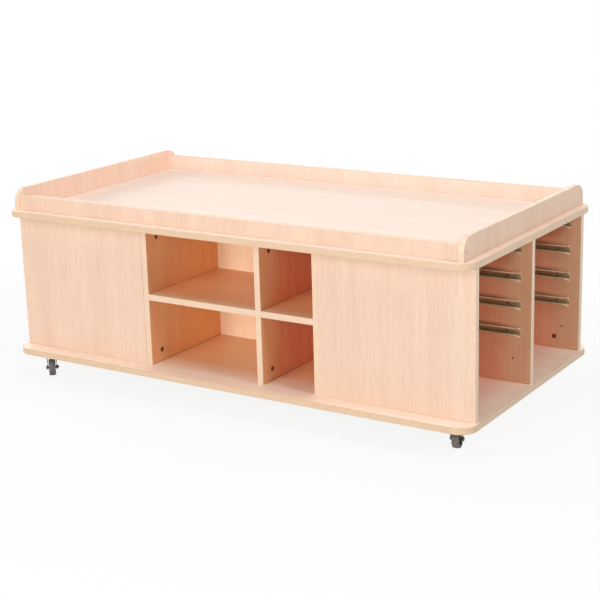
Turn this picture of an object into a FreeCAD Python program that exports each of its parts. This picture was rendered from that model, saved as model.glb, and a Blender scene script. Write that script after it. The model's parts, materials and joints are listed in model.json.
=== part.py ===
import FreeCAD, Part
import Sketcher
import os
import re

# A low play table for several children: a melamine board carcass on four swivel casters, with a rimmed top,
# open shelves in the middle of both long sides and two bays of tray runners at each end.
# Frame: +X along the table, +Y from the front to the back, +Z up, origin on the floor under the middle.

# Driving sizes, in millimetres and degrees
SIZES = {
    # top and bottom boards
    "top_length": 1500,
    "top_width": 800,
    "board": 18,
    "corner_radius": 50,
    "band": 2,
    "band_round": 1.2,
    "glue_line": 0.05,
    # carcass between the boards
    "end_overhang": 8,
    "side_overhang": 52,
    "carcass_height": 400,
    "wide_bay_share": 0.688,
    "shelf_setback": 1,
    # rims that stand on the top
    "rim_thickness": 16,
    "rim_end_height": 62,
    "rim_side_height": 44,
    "rim_end_inset": 25,
    "rim_tip_inset": 19,
    "rim_side_recess": 9,
    "rim_corner_radius": 40,
    "rim_groove_depth": 2,
    # screws that hold the rims
    "rim_screw_radius": 2,
    "rim_screw_head_radius": 4,
    "rim_screw_head_depth": 2.4,
    "rim_screw_length": 38,
    "rim_screw_count": 5,
    "rim_end_screw_share": 0.45,
    "rim_corner_screw_level": 24,
    # cam locks and their bolts
    "cam_radius": 7.5,
    "cam_depth": 12.5,
    "cam_edge": 34,
    "cam_setback": 48,
    "cam_end_setback": 75,
    "cam_slot_width": 2,
    "cam_slot_length": 9,
    "cam_slot_depth": 3,
    "bolt_radius": 3.5,
    "bolt_thread_radius": 2.5,
    "bolt_thread_length": 11,
    # wooden dowels
    "dowel_radius": 4,
    "dowel_length": 30,
    "dowel_shallow": 8,
    "dowel_setback": 60,
    "spine_dowel_share": 0.55,
    "drill_relief": 0.4,
    # tray runners
    "runner_length": 420,
    "runner_setback": 30,
    "runner_rear_gap": 2,
    "runner_height": 19,
    "runner_depth": 13,
    "runner_sheet": 1.2,
    "runner_mouth_length": 14,
    "runner_mouth_angle": 12,
    "runner_count": 4,
    "runner_spare_level": 67,
    "runner_top_gap": 29,
    "runner_screw_setback": 39,
    "runner_screw_rear_setback": 81,
    "runner_screw_radius": 1.5,
    "runner_screw_depth": 8,
    "runner_screw_head_radius": 3,
    "runner_screw_head": 1.5,
    "spare_hole_radius": 2.5,
    "spare_hole_setback": 53,
    # casters
    "caster_height": 73,
    "caster_end_inset": 74,
    "caster_side_inset": 72,
    "caster_trail": 24,
    "front_left_heading": -47,
    "front_right_heading": 101,
    "back_left_heading": 62,
    "back_right_heading": 172,
    "plate_side": 56,
    "plate_sheet": 2,
    "plate_corner": 6,
    "plate_hole_offset": 20,
    "plate_screw_radius": 1.9,
    "plate_screw_depth": 14,
    "plate_screw_head_radius": 4,
    "plate_screw_head": 1.8,
    "dish_radius": 18,
    "dish_depth": 6.2,
    "race_gap": 2.8,
    "race_radius": 12,
    "race_cup_gap": 1.5,
    "race_cup_wall": 1.5,
    "ball_radius": 2,
    "ball_count": 16,
    "swivel_gap": 0.3,
    "running_clearance": 0.05,
    "kingpin_radius": 4,
    "kingpin_head_radius": 7,
    "kingpin_head": 2,
    "crown_radius": 21,
    "fork_sheet": 2,
    "fork_gap": 1.5,
    "fork_half_length": 11,
    "fork_shoulder": 17,
    "fork_bend_level": 38,
    "fork_boss_radius": 8,
    "wheel_radius": 25,
    "wheel_width": 20,
    "tyre_thickness": 4,
    "tyre_round": 3,
    "hub_boss_radius": 7,
    "hub_wall": 3,
    "hub_recess": 4,
    "axle_radius": 3,
    "axle_flats": 10,
    "axle_head": 4.5,
    "axle_nut": 5,
    "axle_tail": 1.5,
}

V = FreeCAD.Vector
RIGHT = V(1, 0, 0)
LEFT = V(-1, 0, 0)
BACK = V(0, 1, 0)
FRONT = V(0, -1, 0)
UP = V(0, 0, 1)
DOWN = V(0, 0, -1)

doc = FreeCAD.newDocument("play_table")
sheet = doc.addObject("Spreadsheet::Sheet", "sizes")
for row, (alias, number) in enumerate(SIZES.items(), start=1):
    sheet.set(f"A{row}", str(number))
    sheet.setAlias(f"A{row}", alias)
doc.recompute()

nodes = []
blanks = {}
drillings = {}


def size(alias):
    """The number that the sheet holds for a size."""
    return float(sheet.get(alias))


def bind(item, prop, formula):
    """Ties a property to a formula written in the sheet's names."""
    named = re.sub(r"[a-z_]+", lambda word: f"sizes.{word[0]}" if word[0] in SIZES else word[0], formula)
    item.setExpression(prop, named)


def place(item, x, y, z, turn=None):
    """Puts an object at a point given by three formulas, turned first if a rotation is given."""
    if turn is not None:
        item.Placement = FreeCAD.Placement(V(), turn)
    bind(item, "Placement.Base.x", x)
    bind(item, "Placement.Base.y", y)
    bind(item, "Placement.Base.z", z)
    return item


def facing(outward, upward=None):
    """The rotation that takes local +Z to one direction and local +Y to another square to it."""
    if upward is None:
        upward = BACK if abs(outward.z) > 0.5 else UP
    return FreeCAD.Rotation(upward.cross(outward), upward, outward, "ZYX")


def flip(span):
    """A span seen from the other end of its axis."""
    return f"-({span[1]})", f"-({span[0]})"


def block(name, x, y, z):
    """A box between the low and high formulas of each axis."""
    item = doc.addObject("Part::Box", name)
    for prop, (low, high) in zip(("Length", "Width", "Height"), (x, y, z)):
        bind(item, prop, f"({high}) - ({low})")
    return place(item, x[0], y[0], z[0])


def cylinder(name, radius, height, x="0", y="0", z="0", turn=None):
    item = doc.addObject("Part::Cylinder", name)
    bind(item, "Radius", radius)
    bind(item, "Height", height)
    return place(item, x, y, z, turn)


def cone(name, low_radius, high_radius, height, z="0"):
    item = doc.addObject("Part::Cone", name)
    bind(item, "Radius1", low_radius)
    bind(item, "Radius2", high_radius)
    bind(item, "Height", height)
    return place(item, "0", "0", z)


def fuse(name, pieces):
    item = doc.addObject("Part::MultiFuse", name)
    item.Shapes = pieces
    return item


def cut(name, base, tool):
    item = doc.addObject("Part::Cut", name)
    item.Base = base
    item.Tool = tool
    return item


def rounded(name, base, radius, wanted):
    """The base with a fillet on each edge that the test picks."""
    doc.recompute()
    item = doc.addObject("Part::Fillet", name)
    item.Base = base
    edges = enumerate(base.Shape.Edges, start=1)
    item.Edges = [(number, radius, radius) for number, edge in edges if wanted(edge)]
    return item


def copy_of(master, x, y, z, turn=None):
    """One more of a piece or drilling that is made once at the origin."""
    link = doc.addObject("App::Link", f"{master.Name}_copy")
    link.LinkedObject = master
    link.LinkTransform = True
    return place(link, x, y, z, turn)


def group(name, pieces):
    item = doc.addObject("Part::Compound", name)
    item.Links = pieces
    return item


def node(label, item):
    """Marks an object as a finished piece, with the label that names its file."""
    item.Label = label
    nodes.append(item)


def board_blank(label, item):
    """A board that gets its drillings once all fittings are placed."""
    blanks[label] = item
    drillings[label] = []


def drill(label, master, x, y, z, into):
    drillings[label].append(copy_of(master, x, y, z, facing(into)))


# Places that several pieces share
carcass_end = "(top_length / 2 - end_overhang)"
carcass_side = "(top_width / 2 - side_overhang)"
divider_out = f"({carcass_end} - runner_setback - runner_length - runner_rear_gap)"
divider_in = f"({divider_out} - board)"
spine_face = "(board / 2)"
panel_inner = f"({carcass_side} - board)"
base_z = "(caster_height + board)"
ceiling_z = f"({base_z} + carcass_height)"
surface_z = f"({ceiling_z} + board)"
upright_z = (base_z, ceiling_z)


# Top and bottom boards, each with a glued band around its edge
def vertical(edge):
    return edge.BoundBox.ZLength > 1 and edge.BoundBox.XLength < 0.01 and edge.BoundBox.YLength < 0.01


def level(edge):
    return edge.BoundBox.ZLength < 0.01


def board_outline(name, inset, z):
    """A board with rounded corners, smaller all round by a formula."""
    half_length = f"(top_length / 2 - ({inset}))"
    half_width = f"(top_width / 2 - ({inset}))"
    raw = block(f"{name}_raw", (f"-{half_length}", half_length), (f"-{half_width}", half_width), z)
    doc.recompute()
    narrower = (size("top_width") - raw.Shape.BoundBox.YLength) / 2
    return rounded(name, raw, size("corner_radius") - narrower, vertical)


for label, board_z in (("bottom", ("caster_height", base_z)), ("top", (ceiling_z, surface_z))):
    board_blank(f"{label}_board", board_outline(f"{label}_core", "band", board_z))
    outer = board_outline(f"{label}_outer", "0", board_z)
    outer = rounded(f"{label}_outer_round", outer, size("band_round"), level)
    inner = board_outline(f"{label}_inner", "band - glue_line", board_z)
    node(f"{label}_edge_band", cut(f"{label}_edge_band", outer, inner))

# Upright panels of the tray bays, the full-depth dividers and the middle wall in three pieces
panel_x = (divider_out, f"({carcass_end} - band)")
front_y = (f"-{carcass_side}", f"-{panel_inner}")
board_blank("front_right_panel", block("front_right_panel_blank", panel_x, front_y, upright_z))
board_blank("front_left_panel", block("front_left_panel_blank", flip(panel_x), front_y, upright_z))
board_blank("back_right_panel", block("back_right_panel_blank", panel_x, flip(front_y), upright_z))
board_blank("back_left_panel", block("back_left_panel_blank", flip(panel_x), flip(front_y), upright_z))

divider_x = (divider_in, divider_out)
divider_y = (f"-({carcass_side} - band)", f"({carcass_side} - band)")
board_blank("cross_divider_right", block("cross_divider_right_blank", divider_x, divider_y, upright_z))
board_blank("cross_divider_left", block("cross_divider_left_blank", flip(divider_x), divider_y, upright_z))

spine_y = (f"-{spine_face}", spine_face)
middle_x = (f"-{divider_in}", divider_in)
board_blank("spine_right", block("spine_right_blank", panel_x, spine_y, upright_z))
board_blank("spine_left", block("spine_left_blank", flip(panel_x), spine_y, upright_z))
board_blank("spine_middle", block("spine_middle_blank", middle_x, spine_y, upright_z))

# Shelf dividers and shelves of the front, and the same turned half round for the back
wide_bay_width = f"((2 * {divider_in} - board) * wide_bay_share)"
shelf_divider_x = (f"(-{divider_in} + {wide_bay_width})", f"(-{divider_in} + {wide_bay_width} + board)")
shelf_divider_y = (f"-({carcass_side} - band)", f"-{spine_face}")
shelf_middle = f"({base_z} + carcass_height / 2)"
shelf_z = (f"({shelf_middle} - board / 2)", f"({shelf_middle} + board / 2)")
shelf_front = f"({carcass_side} - shelf_setback)"
shelf_y = (f"-({shelf_front} - band)", f"-{spine_face}")
wide_x = (f"-{divider_in}", shelf_divider_x[0])
narrow_x = (shelf_divider_x[1], divider_in)
for label, turn in (("front", lambda span: span), ("back", flip)):
    spans = (turn(shelf_divider_x), turn(shelf_divider_y), upright_z)
    board_blank(f"{label}_shelf_divider", block(f"{label}_shelf_divider_blank", *spans))
    spans = (turn(wide_x), turn(shelf_y), shelf_z)
    board_blank(f"{label}_wide_shelf", block(f"{label}_wide_shelf_blank", *spans))
    spans = (turn(narrow_x), turn(shelf_y), shelf_z)
    board_blank(f"{label}_narrow_shelf", block(f"{label}_narrow_shelf_blank", *spans))


# Edge bands of the uprights and shelves: strips with their two long outer edges rounded
def strip(name, x, y, z, outward):
    raw = block(f"{name}_raw", x, y, z)
    doc.recompute()
    box = raw.Shape.BoundBox
    reach = max(outward.dot(corner.Point) for corner in raw.Shape.Vertexes)
    length = max(box.XLength, box.YLength, box.ZLength)

    def outer_long_edge(edge):
        on_face = all(abs(outward.dot(corner.Point) - reach) < 0.01 for corner in edge.Vertexes)
        return on_face and abs(edge.Length - length) < 0.01

    return rounded(name, raw, size("band_round"), outer_long_edge)


end_band_x = (f"({carcass_end} - band)", carcass_end)
side_band_y = (f"-{carcass_side}", f"-({carcass_side} - band)")
shelf_band_y = (f"-{shelf_front}", f"-({shelf_front} - band)")
strips = []
for end, turn_x, outward in (("right", lambda span: span, RIGHT), ("left", flip, LEFT)):
    for wall, wall_y in (("front", front_y), ("spine", spine_y), ("back", flip(front_y))):
        strips.append(strip(f"{end}_{wall}_end_band", turn_x(end_band_x), wall_y, upright_z, outward))
    for side, turn_y, side_outward in (("front", lambda span: span, FRONT), ("back", flip, BACK)):
        name = f"{end}_{side}_divider_band"
        strips.append(strip(name, turn_x(divider_x), turn_y(side_band_y), upright_z, side_outward))
for side, turn, outward in (("front", lambda span: span, FRONT), ("back", flip, BACK)):
    name = f"{side}_shelf_divider_band"
    strips.append(strip(name, turn(shelf_divider_x), turn(side_band_y), upright_z, outward))
    for shelf, shelf_x in (("wide", wide_x), ("narrow", narrow_x)):
        name = f"{side}_{shelf}_shelf_band"
        strips.append(strip(name, turn(shelf_x), turn(shelf_band_y), shelf_z, outward))
node("carcass_edge_bands", group("carcass_edge_bands", strips))

# Rims: the end rims run past the side rims and have rounded upper corners, all housed in shallow grooves
rim_bottom = f"({surface_z} - rim_groove_depth)"
rim_end_x = ("(top_length / 2 - rim_end_inset - rim_thickness)", "(top_length / 2 - rim_end_inset)")
rim_tip = "(top_width / 2 - rim_tip_inset)"
rim_side_y = (f"-({rim_tip} - rim_side_recess)", f"-({rim_tip} - rim_side_recess - rim_thickness)")
rim_side_x = (f"-{rim_end_x[0]}", rim_end_x[0])
rim_side_top = f"({surface_z} + rim_side_height)"
rim_bands = []


def rim_outline(name, x, inset):
    """An end rim's block, smaller at its tips and top by a formula, with its upper corners rounded."""
    tips = f"({rim_tip} - ({inset}))"
    height = (rim_bottom, f"{surface_z} + rim_end_height - ({inset})")
    raw = block(f"{name}_raw", x, (f"-{tips}", tips), height)
    doc.recompute()
    box = raw.Shape.BoundBox
    shorter = size("top_width") / 2 - size("rim_tip_inset") - box.YMax

    def upper_corner(edge):
        return edge.BoundBox.XLength > 1 and edge.BoundBox.ZMin > box.ZMax - 0.01

    return rounded(name, raw, size("rim_corner_radius") - shorter, upper_corner)


for end, span in (("right", rim_end_x), ("left", flip(rim_end_x))):
    board_blank(f"rim_{end}", rim_outline(f"rim_{end}_core", span, "band"))
    outer = rim_outline(f"rim_{end}_outer", span, "0")
    doc.recompute()
    foot = outer.Shape.BoundBox.ZMin
    outer = rounded(f"rim_{end}_outer_round", outer, size("band_round"),
                    lambda edge: edge.BoundBox.XLength < 0.01 and edge.BoundBox.ZMax > foot + 0.01)
    inner = rim_outline(f"rim_{end}_inner", span, "band - glue_line")
    rim_bands.append(cut(f"rim_{end}_band", outer, inner))
for side, span in (("front", rim_side_y), ("back", flip(rim_side_y))):
    rim_z = (rim_bottom, f"({rim_side_top} - band)")
    board_blank(f"rim_{side}", block(f"rim_{side}_blank", rim_side_x, span, rim_z))
    rim_bands.append(strip(f"rim_{side}_band", rim_side_x, span, (rim_z[1], rim_side_top), UP))
node("rim_edge_bands", group("rim_edge_bands", rim_bands))

groove_z = (rim_bottom, f"({surface_z} + rim_groove_depth)")
for end, turn in (("right", lambda span: span), ("left", flip)):
    low, high = turn(rim_end_x)
    groove_x = (f"{low} - glue_line", f"{high} + glue_line")
    groove_y = (f"-{rim_tip} - glue_line", f"{rim_tip} + glue_line")
    drillings["top_board"].append(block(f"rim_{end}_groove", groove_x, groove_y, groove_z))
for side, span in (("front", rim_side_y), ("back", flip(rim_side_y))):
    groove_y = (f"{span[0]} - glue_line", f"{span[1]} + glue_line")
    drillings["top_board"].append(block(f"rim_{side}_groove", rim_side_x, groove_y, groove_z))

# Screws of the rims: countersunk, up through the top and in through the end rims into the side rims
screw_shank = cylinder("rim_screw_shank", "rim_screw_radius", "rim_screw_length")
screw_head = cone("rim_screw_head", "rim_screw_head_radius", "rim_screw_radius", "rim_screw_head_depth")
rim_screw = fuse("rim_screw", [screw_shank, screw_head])
loose_radius = "rim_screw_radius + glue_line"
loose_shank = cylinder("rim_screw_hole_shank", loose_radius, "rim_screw_length + drill_relief")
loose_head = cone("rim_screw_hole_head", "rim_screw_head_radius + glue_line", loose_radius,
                  "rim_screw_head_depth")
rim_screw_hole = fuse("rim_screw_hole", [loose_shank, loose_head])
rim_screws = []


def rim_fixing(through, held, x, y, z, into):
    """A screw whose head is flush with one board and whose shank ends in the next."""
    rim_screws.append(copy_of(rim_screw, x, y, z, facing(into)))
    drill(through, rim_screw_hole, x, y, z, into)
    drill(held, rim_screw_hole, x, y, z, into)


rim_side_middle = f"({rim_tip} - rim_side_recess - rim_thickness / 2)"
rim_end_middle = "(top_length / 2 - rim_end_inset - rim_thickness / 2)"
rim_screw_pitch = f"(2 * {rim_end_x[0]} / rim_screw_count)"
for side, sign in (("front", -1), ("back", 1)):
    for number in range(int(size("rim_screw_count"))):
        along = f"(({number} + 1 / 2) * {rim_screw_pitch} - {rim_end_x[0]})"
        rim_fixing("top_board", f"rim_{side}", along, f"{sign} * {rim_side_middle}", ceiling_z, UP)
for end, sign, inward in (("right", 1, LEFT), ("left", -1, RIGHT)):
    for step in (-1, 1):
        across = f"{step} * {rim_tip} * rim_end_screw_share"
        rim_fixing("top_board", f"rim_{end}", f"{sign} * {rim_end_middle}", across, ceiling_z, UP)
    for side, side_sign in (("front", -1), ("back", 1)):
        corner = (f"{sign} * {rim_end_x[1]}", f"{side_sign} * {rim_side_middle}")
        rim_fixing(f"rim_{end}", f"rim_{side}", *corner, f"{surface_z} + rim_corner_screw_level", inward)
node("rim_screws", group("rim_screws", rim_screws))

# Cam locks: a slotted disc in the panel's face draws in a bolt that is screwed into the board
cam_disc = cylinder("cam_disc", "cam_radius - glue_line", "cam_depth - glue_line")
half_slot = ("-cam_slot_length / 2", "cam_slot_length / 2")
thin_slot = ("-cam_slot_width / 2", "cam_slot_width / 2")
slot_deep = ("-cam_slot_depth", "cam_slot_depth")
cam_cross = fuse("cam_cross", [block("cam_slot_a", half_slot, thin_slot, slot_deep),
                               block("cam_slot_b", thin_slot, half_slot, slot_deep)])
cam_channel = cylinder("cam_channel", "bolt_radius + drill_relief", "2 * cam_radius",
                       "0", "-drill_relief", "board / 2", facing(BACK))
cam_lock = cut("cam_lock", cam_disc, fuse("cam_hollows", [cam_cross, cam_channel]))
cam_recess = cylinder("cam_recess", "cam_radius", "cam_depth")
cam_bolt = fuse("cam_bolt", [
    cylinder("cam_bolt_shank", "bolt_radius", "cam_edge"),
    cylinder("cam_bolt_thread", "bolt_thread_radius", "bolt_thread_length", z="-bolt_thread_length"),
])
bolt_bore = cylinder("bolt_bore", "bolt_radius + glue_line", "cam_edge")
thread_bore = cylinder("thread_bore", "bolt_thread_radius + glue_line", "bolt_thread_length + drill_relief")
cam_locks = []
cam_bolts = []


def cam_fixing(panel, x, y, into, middle_x, middle_y, at_top=False):
    """A cam at a point of the panel's face and its bolt in the middle of the panel's thickness."""
    cam_z = f"{ceiling_z} - cam_edge" if at_top else f"{base_z} + cam_edge"
    joint_z = ceiling_z if at_top else base_z
    towards_board = UP if at_top else DOWN
    cam_locks.append(copy_of(cam_lock, x, y, cam_z, facing(into, towards_board)))
    cam_bolts.append(copy_of(cam_bolt, middle_x, middle_y, joint_z, facing(-towards_board)))
    drill(panel, cam_recess, x, y, cam_z, into)
    drill(panel, bolt_bore, middle_x, middle_y, joint_z, -towards_board)
    drill("top_board" if at_top else "bottom_board", thread_bore, middle_x, middle_y, joint_z, towards_board)


cam_y = f"({carcass_side} - cam_setback)"
for end, sign, into in (("right", 1, RIGHT), ("left", -1, LEFT)):
    middle = f"{sign} * ({divider_in} + board / 2)"
    for side_sign in (-1, 1):
        for at_top in (False, True):
            y = f"{side_sign} * {cam_y}"
            cam_fixing(f"cross_divider_{end}", f"{sign} * {divider_in}", y, into, middle, y, at_top)
for side, sign, into in (("front", 1, LEFT), ("back", -1, RIGHT)):
    middle = f"{sign} * ({shelf_divider_x[1]} - board / 2)"
    for at_top in (False, True):
        y = f"{-sign} * {cam_y}"
        cam_fixing(f"{side}_shelf_divider", f"{sign} * {shelf_divider_x[1]}", y, into, middle, y, at_top)
end_cam_places = (f"({carcass_end} - cam_end_setback)", f"({divider_out} + cam_end_setback)")
for end, sign in (("right", 1), ("left", -1)):
    for place_x in end_cam_places:
        x = f"{sign} * {place_x}"
        for side, side_sign, into in (("front", -1, FRONT), ("back", 1, BACK)):
            middle = f"{side_sign} * ({panel_inner} + board / 2)"
            cam_fixing(f"{side}_{end}_panel", x, f"{side_sign} * {panel_inner}", into, x, middle)
        cam_fixing(f"spine_{end}", x, f"{sign} * {spine_face}", FRONT if sign > 0 else BACK, x, "0")
node("cam_locks", group("cam_locks", cam_locks))
node("cam_bolts", group("cam_bolts", cam_bolts))

# Wooden dowels: deep in the edge of one board and shallow in the face of the next
dowel = cylinder("dowel", "dowel_radius - glue_line", "dowel_length", z="-dowel_shallow")
deep_bore = cylinder("dowel_deep_bore", "dowel_radius", "dowel_length - dowel_shallow + drill_relief")
shallow_bore = cylinder("dowel_shallow_bore", "dowel_radius", "dowel_shallow + drill_relief")
dowels = []


def dowel_fixing(edge_board, face_board, x, y, z, into_edge):
    dowels.append(copy_of(dowel, x, y, z, facing(into_edge)))
    drill(edge_board, deep_bore, x, y, z, into_edge)
    drill(face_board, shallow_bore, x, y, z, -into_edge)


shelf_dowel_rows = (f"({carcass_side} - dowel_setback)", f"({spine_face} + dowel_setback)")
for side, sign, near_wide, near_narrow in (("front", 1, "left", "right"), ("back", -1, "right", "left")):
    inward = RIGHT if sign > 0 else LEFT
    for row in shelf_dowel_rows:
        y = f"{-sign} * {row}"
        ends = (
            ("wide", f"cross_divider_{near_wide}", wide_x[0], inward),
            ("wide", f"{side}_shelf_divider", wide_x[1], -inward),
            ("narrow", f"{side}_shelf_divider", narrow_x[0], inward),
            ("narrow", f"cross_divider_{near_narrow}", narrow_x[1], -inward),
        )
        for shelf, wall, x, into_edge in ends:
            dowel_fixing(f"{side}_{shelf}_shelf", wall, f"{sign} * ({x})", y, shelf_middle, into_edge)
for end, sign in (("right", 1), ("left", -1)):
    for place_x in end_cam_places:
        x = f"{sign} * {place_x}"
        dowel_fixing(f"spine_{end}", "top_board", x, "0", ceiling_z, DOWN)
        for side, side_sign in (("front", -1), ("back", 1)):
            y = f"{side_sign} * ({panel_inner} + board / 2)"
            dowel_fixing(f"{side}_{end}_panel", "top_board", x, y, ceiling_z, DOWN)
for sign in (-1, 1):
    x = f"{sign} * {divider_in} * spine_dowel_share"
    dowel_fixing("spine_middle", "top_board", x, "0", ceiling_z, DOWN)
    dowel_fixing("spine_middle", "bottom_board", x, "0", base_z, UP)
node("wood_dowels", group("wood_dowels", dowels))


# Tray runner: a folded steel channel, open to the bay, with the ends of its two flanges spread as a mouth
def outline_sketch(body, name, plane, points):
    """A closed outline in a body whose corners are tied to pairs of formulas."""
    sketch = body.newObject("Sketcher::SketchObject", name)
    support = [feature for feature in body.Origin.OriginFeatures if feature.Role == plane][0]
    sketch.AttachmentSupport = [(support, "")]
    sketch.MapMode = "FlatFace"
    count = len(points)
    starts = [FreeCAD.Rotation(UP, 360 * number / count).multVec(RIGHT) for number in range(count)]
    for number in range(count):
        sketch.addGeometry(Part.LineSegment(starts[number], starts[(number + 1) % count]), False)
    for number in range(count):
        sketch.addConstraint(Sketcher.Constraint("Coincident", number, 2, (number + 1) % count, 1))
    for number, (across, along) in enumerate(points):
        index = sketch.addConstraint(Sketcher.Constraint("DistanceX", -1, 1, number, 1, starts[number].x))
        bind(sketch, f"Constraints[{index}]", across)
        index = sketch.addConstraint(Sketcher.Constraint("DistanceY", -1, 1, number, 1, starts[number].y))
        bind(sketch, f"Constraints[{index}]", along)
    return sketch


def padded(body, name, sketch, length):
    pad = body.newObject("PartDesign::Pad", name)
    pad.Profile = sketch
    bind(pad, "Length", length)
    return pad


half_height = "(runner_height / 2)"
inside_height = f"({half_height} - runner_sheet)"
channel_points = [
    ("0", f"-{half_height}"),
    ("runner_depth", f"-{half_height}"),
    ("runner_depth", f"-{inside_height}"),
    ("runner_sheet", f"-{inside_height}"),
    ("runner_sheet", inside_height),
    ("runner_depth", inside_height),
    ("runner_depth", half_height),
    ("0", half_height),
]
channel = doc.addObject("PartDesign::Body", "runner_channel")
channel_profile = outline_sketch(channel, "runner_profile", "YZ_Plane", channel_points)
padded(channel, "runner_pad", channel_profile, "runner_length - runner_mouth_length")
mouth_x = "(runner_length - runner_mouth_length)"
mouth_web = block("runner_mouth_web", (mouth_x, "runner_length"), ("0", "runner_sheet"),
                  (f"-{inside_height}", inside_height))
upper_lip = doc.addObject("Part::Box", "runner_upper_lip")
bind(upper_lip, "Length", "runner_mouth_length")
bind(upper_lip, "Width", "runner_depth")
bind(upper_lip, "Height", "runner_sheet")
place(upper_lip, mouth_x, "0", inside_height, FreeCAD.Rotation(BACK, -size("runner_mouth_angle")))
lower_lip = copy_of(upper_lip, "0", "runner_depth", "0", FreeCAD.Rotation(RIGHT, 180))
bore_radius = "runner_screw_radius + glue_line"
screw_bore = cylinder("runner_screw_bore", bore_radius, "runner_screw_depth + drill_relief")
screw_spots = ("(runner_length - runner_screw_setback)", "runner_screw_rear_setback")
web_bores = []
for number, spot in enumerate(screw_spots):
    bore = cylinder(f"runner_web_bore_{number}", bore_radius, "3 * runner_sheet", spot, "-runner_sheet",
                    turn=facing(BACK))
    web_bores.append(bore)
runner_folded = fuse("runner_folded", [channel, mouth_web, upper_lip, lower_lip])
runner = cut("runner", runner_folded, group("runner_bores", web_bores))

shank = cylinder("runner_screw_shank", "runner_screw_radius", "runner_screw_depth + runner_sheet",
                 z="-runner_sheet")
head = cylinder("runner_screw_head", "runner_screw_head_radius", "runner_screw_head",
                z="-runner_sheet - runner_screw_head")
runner_screw = fuse("runner_screw", [shank, head])
spare_hole = cylinder("spare_hole", "spare_hole_radius", "runner_screw_depth")
runner_screws = []
runner_pitch = "((carcass_height - runner_spare_level - runner_top_gap) / runner_count)"
runner_back = f"({carcass_end} - runner_setback - runner_length)"
walls = (
    ("front", "outer", "front_{}_panel", f"-{panel_inner}", BACK),
    ("front", "inner", "spine_{}", f"-{spine_face}", FRONT),
    ("back", "inner", "spine_{}", spine_face, BACK),
    ("back", "outer", "back_{}_panel", panel_inner, FRONT),
)
for end, sign in (("right", 1), ("left", -1)):
    mouth_direction = RIGHT if sign > 0 else LEFT
    for side, wall, board_name, wall_y, into_bay in walls:
        panel = board_name.format(end)
        turn = FreeCAD.Rotation(mouth_direction, into_bay, mouth_direction.cross(into_bay), "XYZ")
        set_of_runners = []
        for step in range(1, int(size("runner_count")) + 1):
            z = f"{base_z} + runner_spare_level + {step} * {runner_pitch}"
            set_of_runners.append(copy_of(runner, f"{sign} * {runner_back}", wall_y, z, turn))
            for spot in screw_spots:
                x = f"{sign} * ({runner_back} + {spot})"
                runner_screws.append(copy_of(runner_screw, x, wall_y, z, facing(-into_bay)))
                drill(panel, screw_bore, x, wall_y, z, -into_bay)
        x = f"{sign} * ({carcass_end} - spare_hole_setback)"
        drill(panel, spare_hole, x, wall_y, f"{base_z} + runner_spare_level", -into_bay)
        label = f"runners_{end}_{side}_{wall}"
        node(label, group(label, set_of_runners))
node("runner_screws", group("runner_screws", runner_screws))

# Swivel casters: a screwed plate with a pressed dish, a ring of balls under it and a kingpin through both
caster_x = "(top_length / 2 - caster_end_inset)"
caster_y = "(top_width / 2 - caster_side_inset)"
corners = (("front_left", -1, -1), ("front_right", 1, -1), ("back_left", -1, 1), ("back_right", 1, 1))
plate_low = "(caster_height - plate_sheet)"
dish_low = f"({plate_low} - dish_depth)"
crown_top = f"({dish_low} - race_gap)"
crown_low = f"({crown_top} - fork_sheet)"
race_middle = f"({crown_top} + race_gap / 2)"
kingpin_low = f"({crown_low} - swivel_gap - kingpin_head)"

race = doc.addObject("Part::Torus", "race")
bind(race, "Radius1", "race_radius")
bind(race, "Radius2", "ball_radius + running_clearance")
place(race, "0", "0", race_middle)
ball = doc.addObject("Part::Sphere", "ball")
bind(ball, "Radius", "ball_radius")

half_plate = ("-plate_side / 2", "plate_side / 2")
plate_raw = block("plate_raw", half_plate, half_plate, (plate_low, "caster_height"))
plate_flat = rounded("plate_flat", plate_raw, size("plate_corner"), vertical)
dish = cylinder("plate_dish", "dish_radius", "dish_depth + plate_sheet / 2", z=dish_low)
plate_bore = cylinder("plate_screw_bore", "plate_screw_radius + glue_line", "caster_height")
plate_hollows = [race, cylinder("plate_kingpin_bore", "kingpin_radius + glue_line", "caster_height")]
hole_signs = [(a, b) for a in (-1, 1) for b in (-1, 1)]
for a, b in hole_signs:
    plate_hollows.append(copy_of(plate_bore, f"{a} * plate_hole_offset", f"{b} * plate_hole_offset", "0"))
plate = cut("caster_plate", fuse("plate_pressed", [plate_flat, dish]), group("plate_hollows", plate_hollows))
kingpin = fuse("kingpin", [
    cylinder("kingpin_shaft", "kingpin_radius", f"caster_height - glue_line - {kingpin_low}", z=kingpin_low),
    cylinder("kingpin_head", "kingpin_head_radius", "kingpin_head", z=kingpin_low),
])
shank = cylinder("plate_screw_shank", "plate_screw_radius", "plate_sheet + plate_screw_depth", z=plate_low)
head = cylinder("plate_screw_head", "plate_screw_head_radius", "plate_screw_head",
                z=f"{plate_low} - plate_screw_head")
plate_screw = fuse("plate_screw", [shank, head])
plate_pilot = cylinder("plate_pilot", "plate_screw_radius + glue_line", "plate_screw_depth + drill_relief")

# Fork: a round crown with a cup around the balls, and two legs that draw in and hold the axle behind the pin
leg_inner = "(wheel_width / 2 + fork_gap)"
leg_outer = f"({leg_inner} + fork_sheet)"
leg_foot = "(wheel_radius - fork_boss_radius)"
crown = cylinder("fork_crown", "crown_radius", "fork_sheet", z=crown_low)
cup_radius = "(race_radius + ball_radius + race_cup_gap)"
cup_outer = cylinder("cup_outer", f"{cup_radius} + race_cup_wall", "race_gap - swivel_gap", z=crown_top)
cup_inner = cylinder("cup_inner", cup_radius, "race_gap", z=crown_top)
cup = cut("fork_cup", cup_outer, cup_inner)


def on_axle(name, radius, low_y, high_y):
    """A cylinder around the axle between two formulas across the wheel."""
    width = f"({high_y}) - ({low_y})"
    return cylinder(name, radius, width, "caster_trail", low_y, "wheel_radius", facing(BACK))


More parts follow.
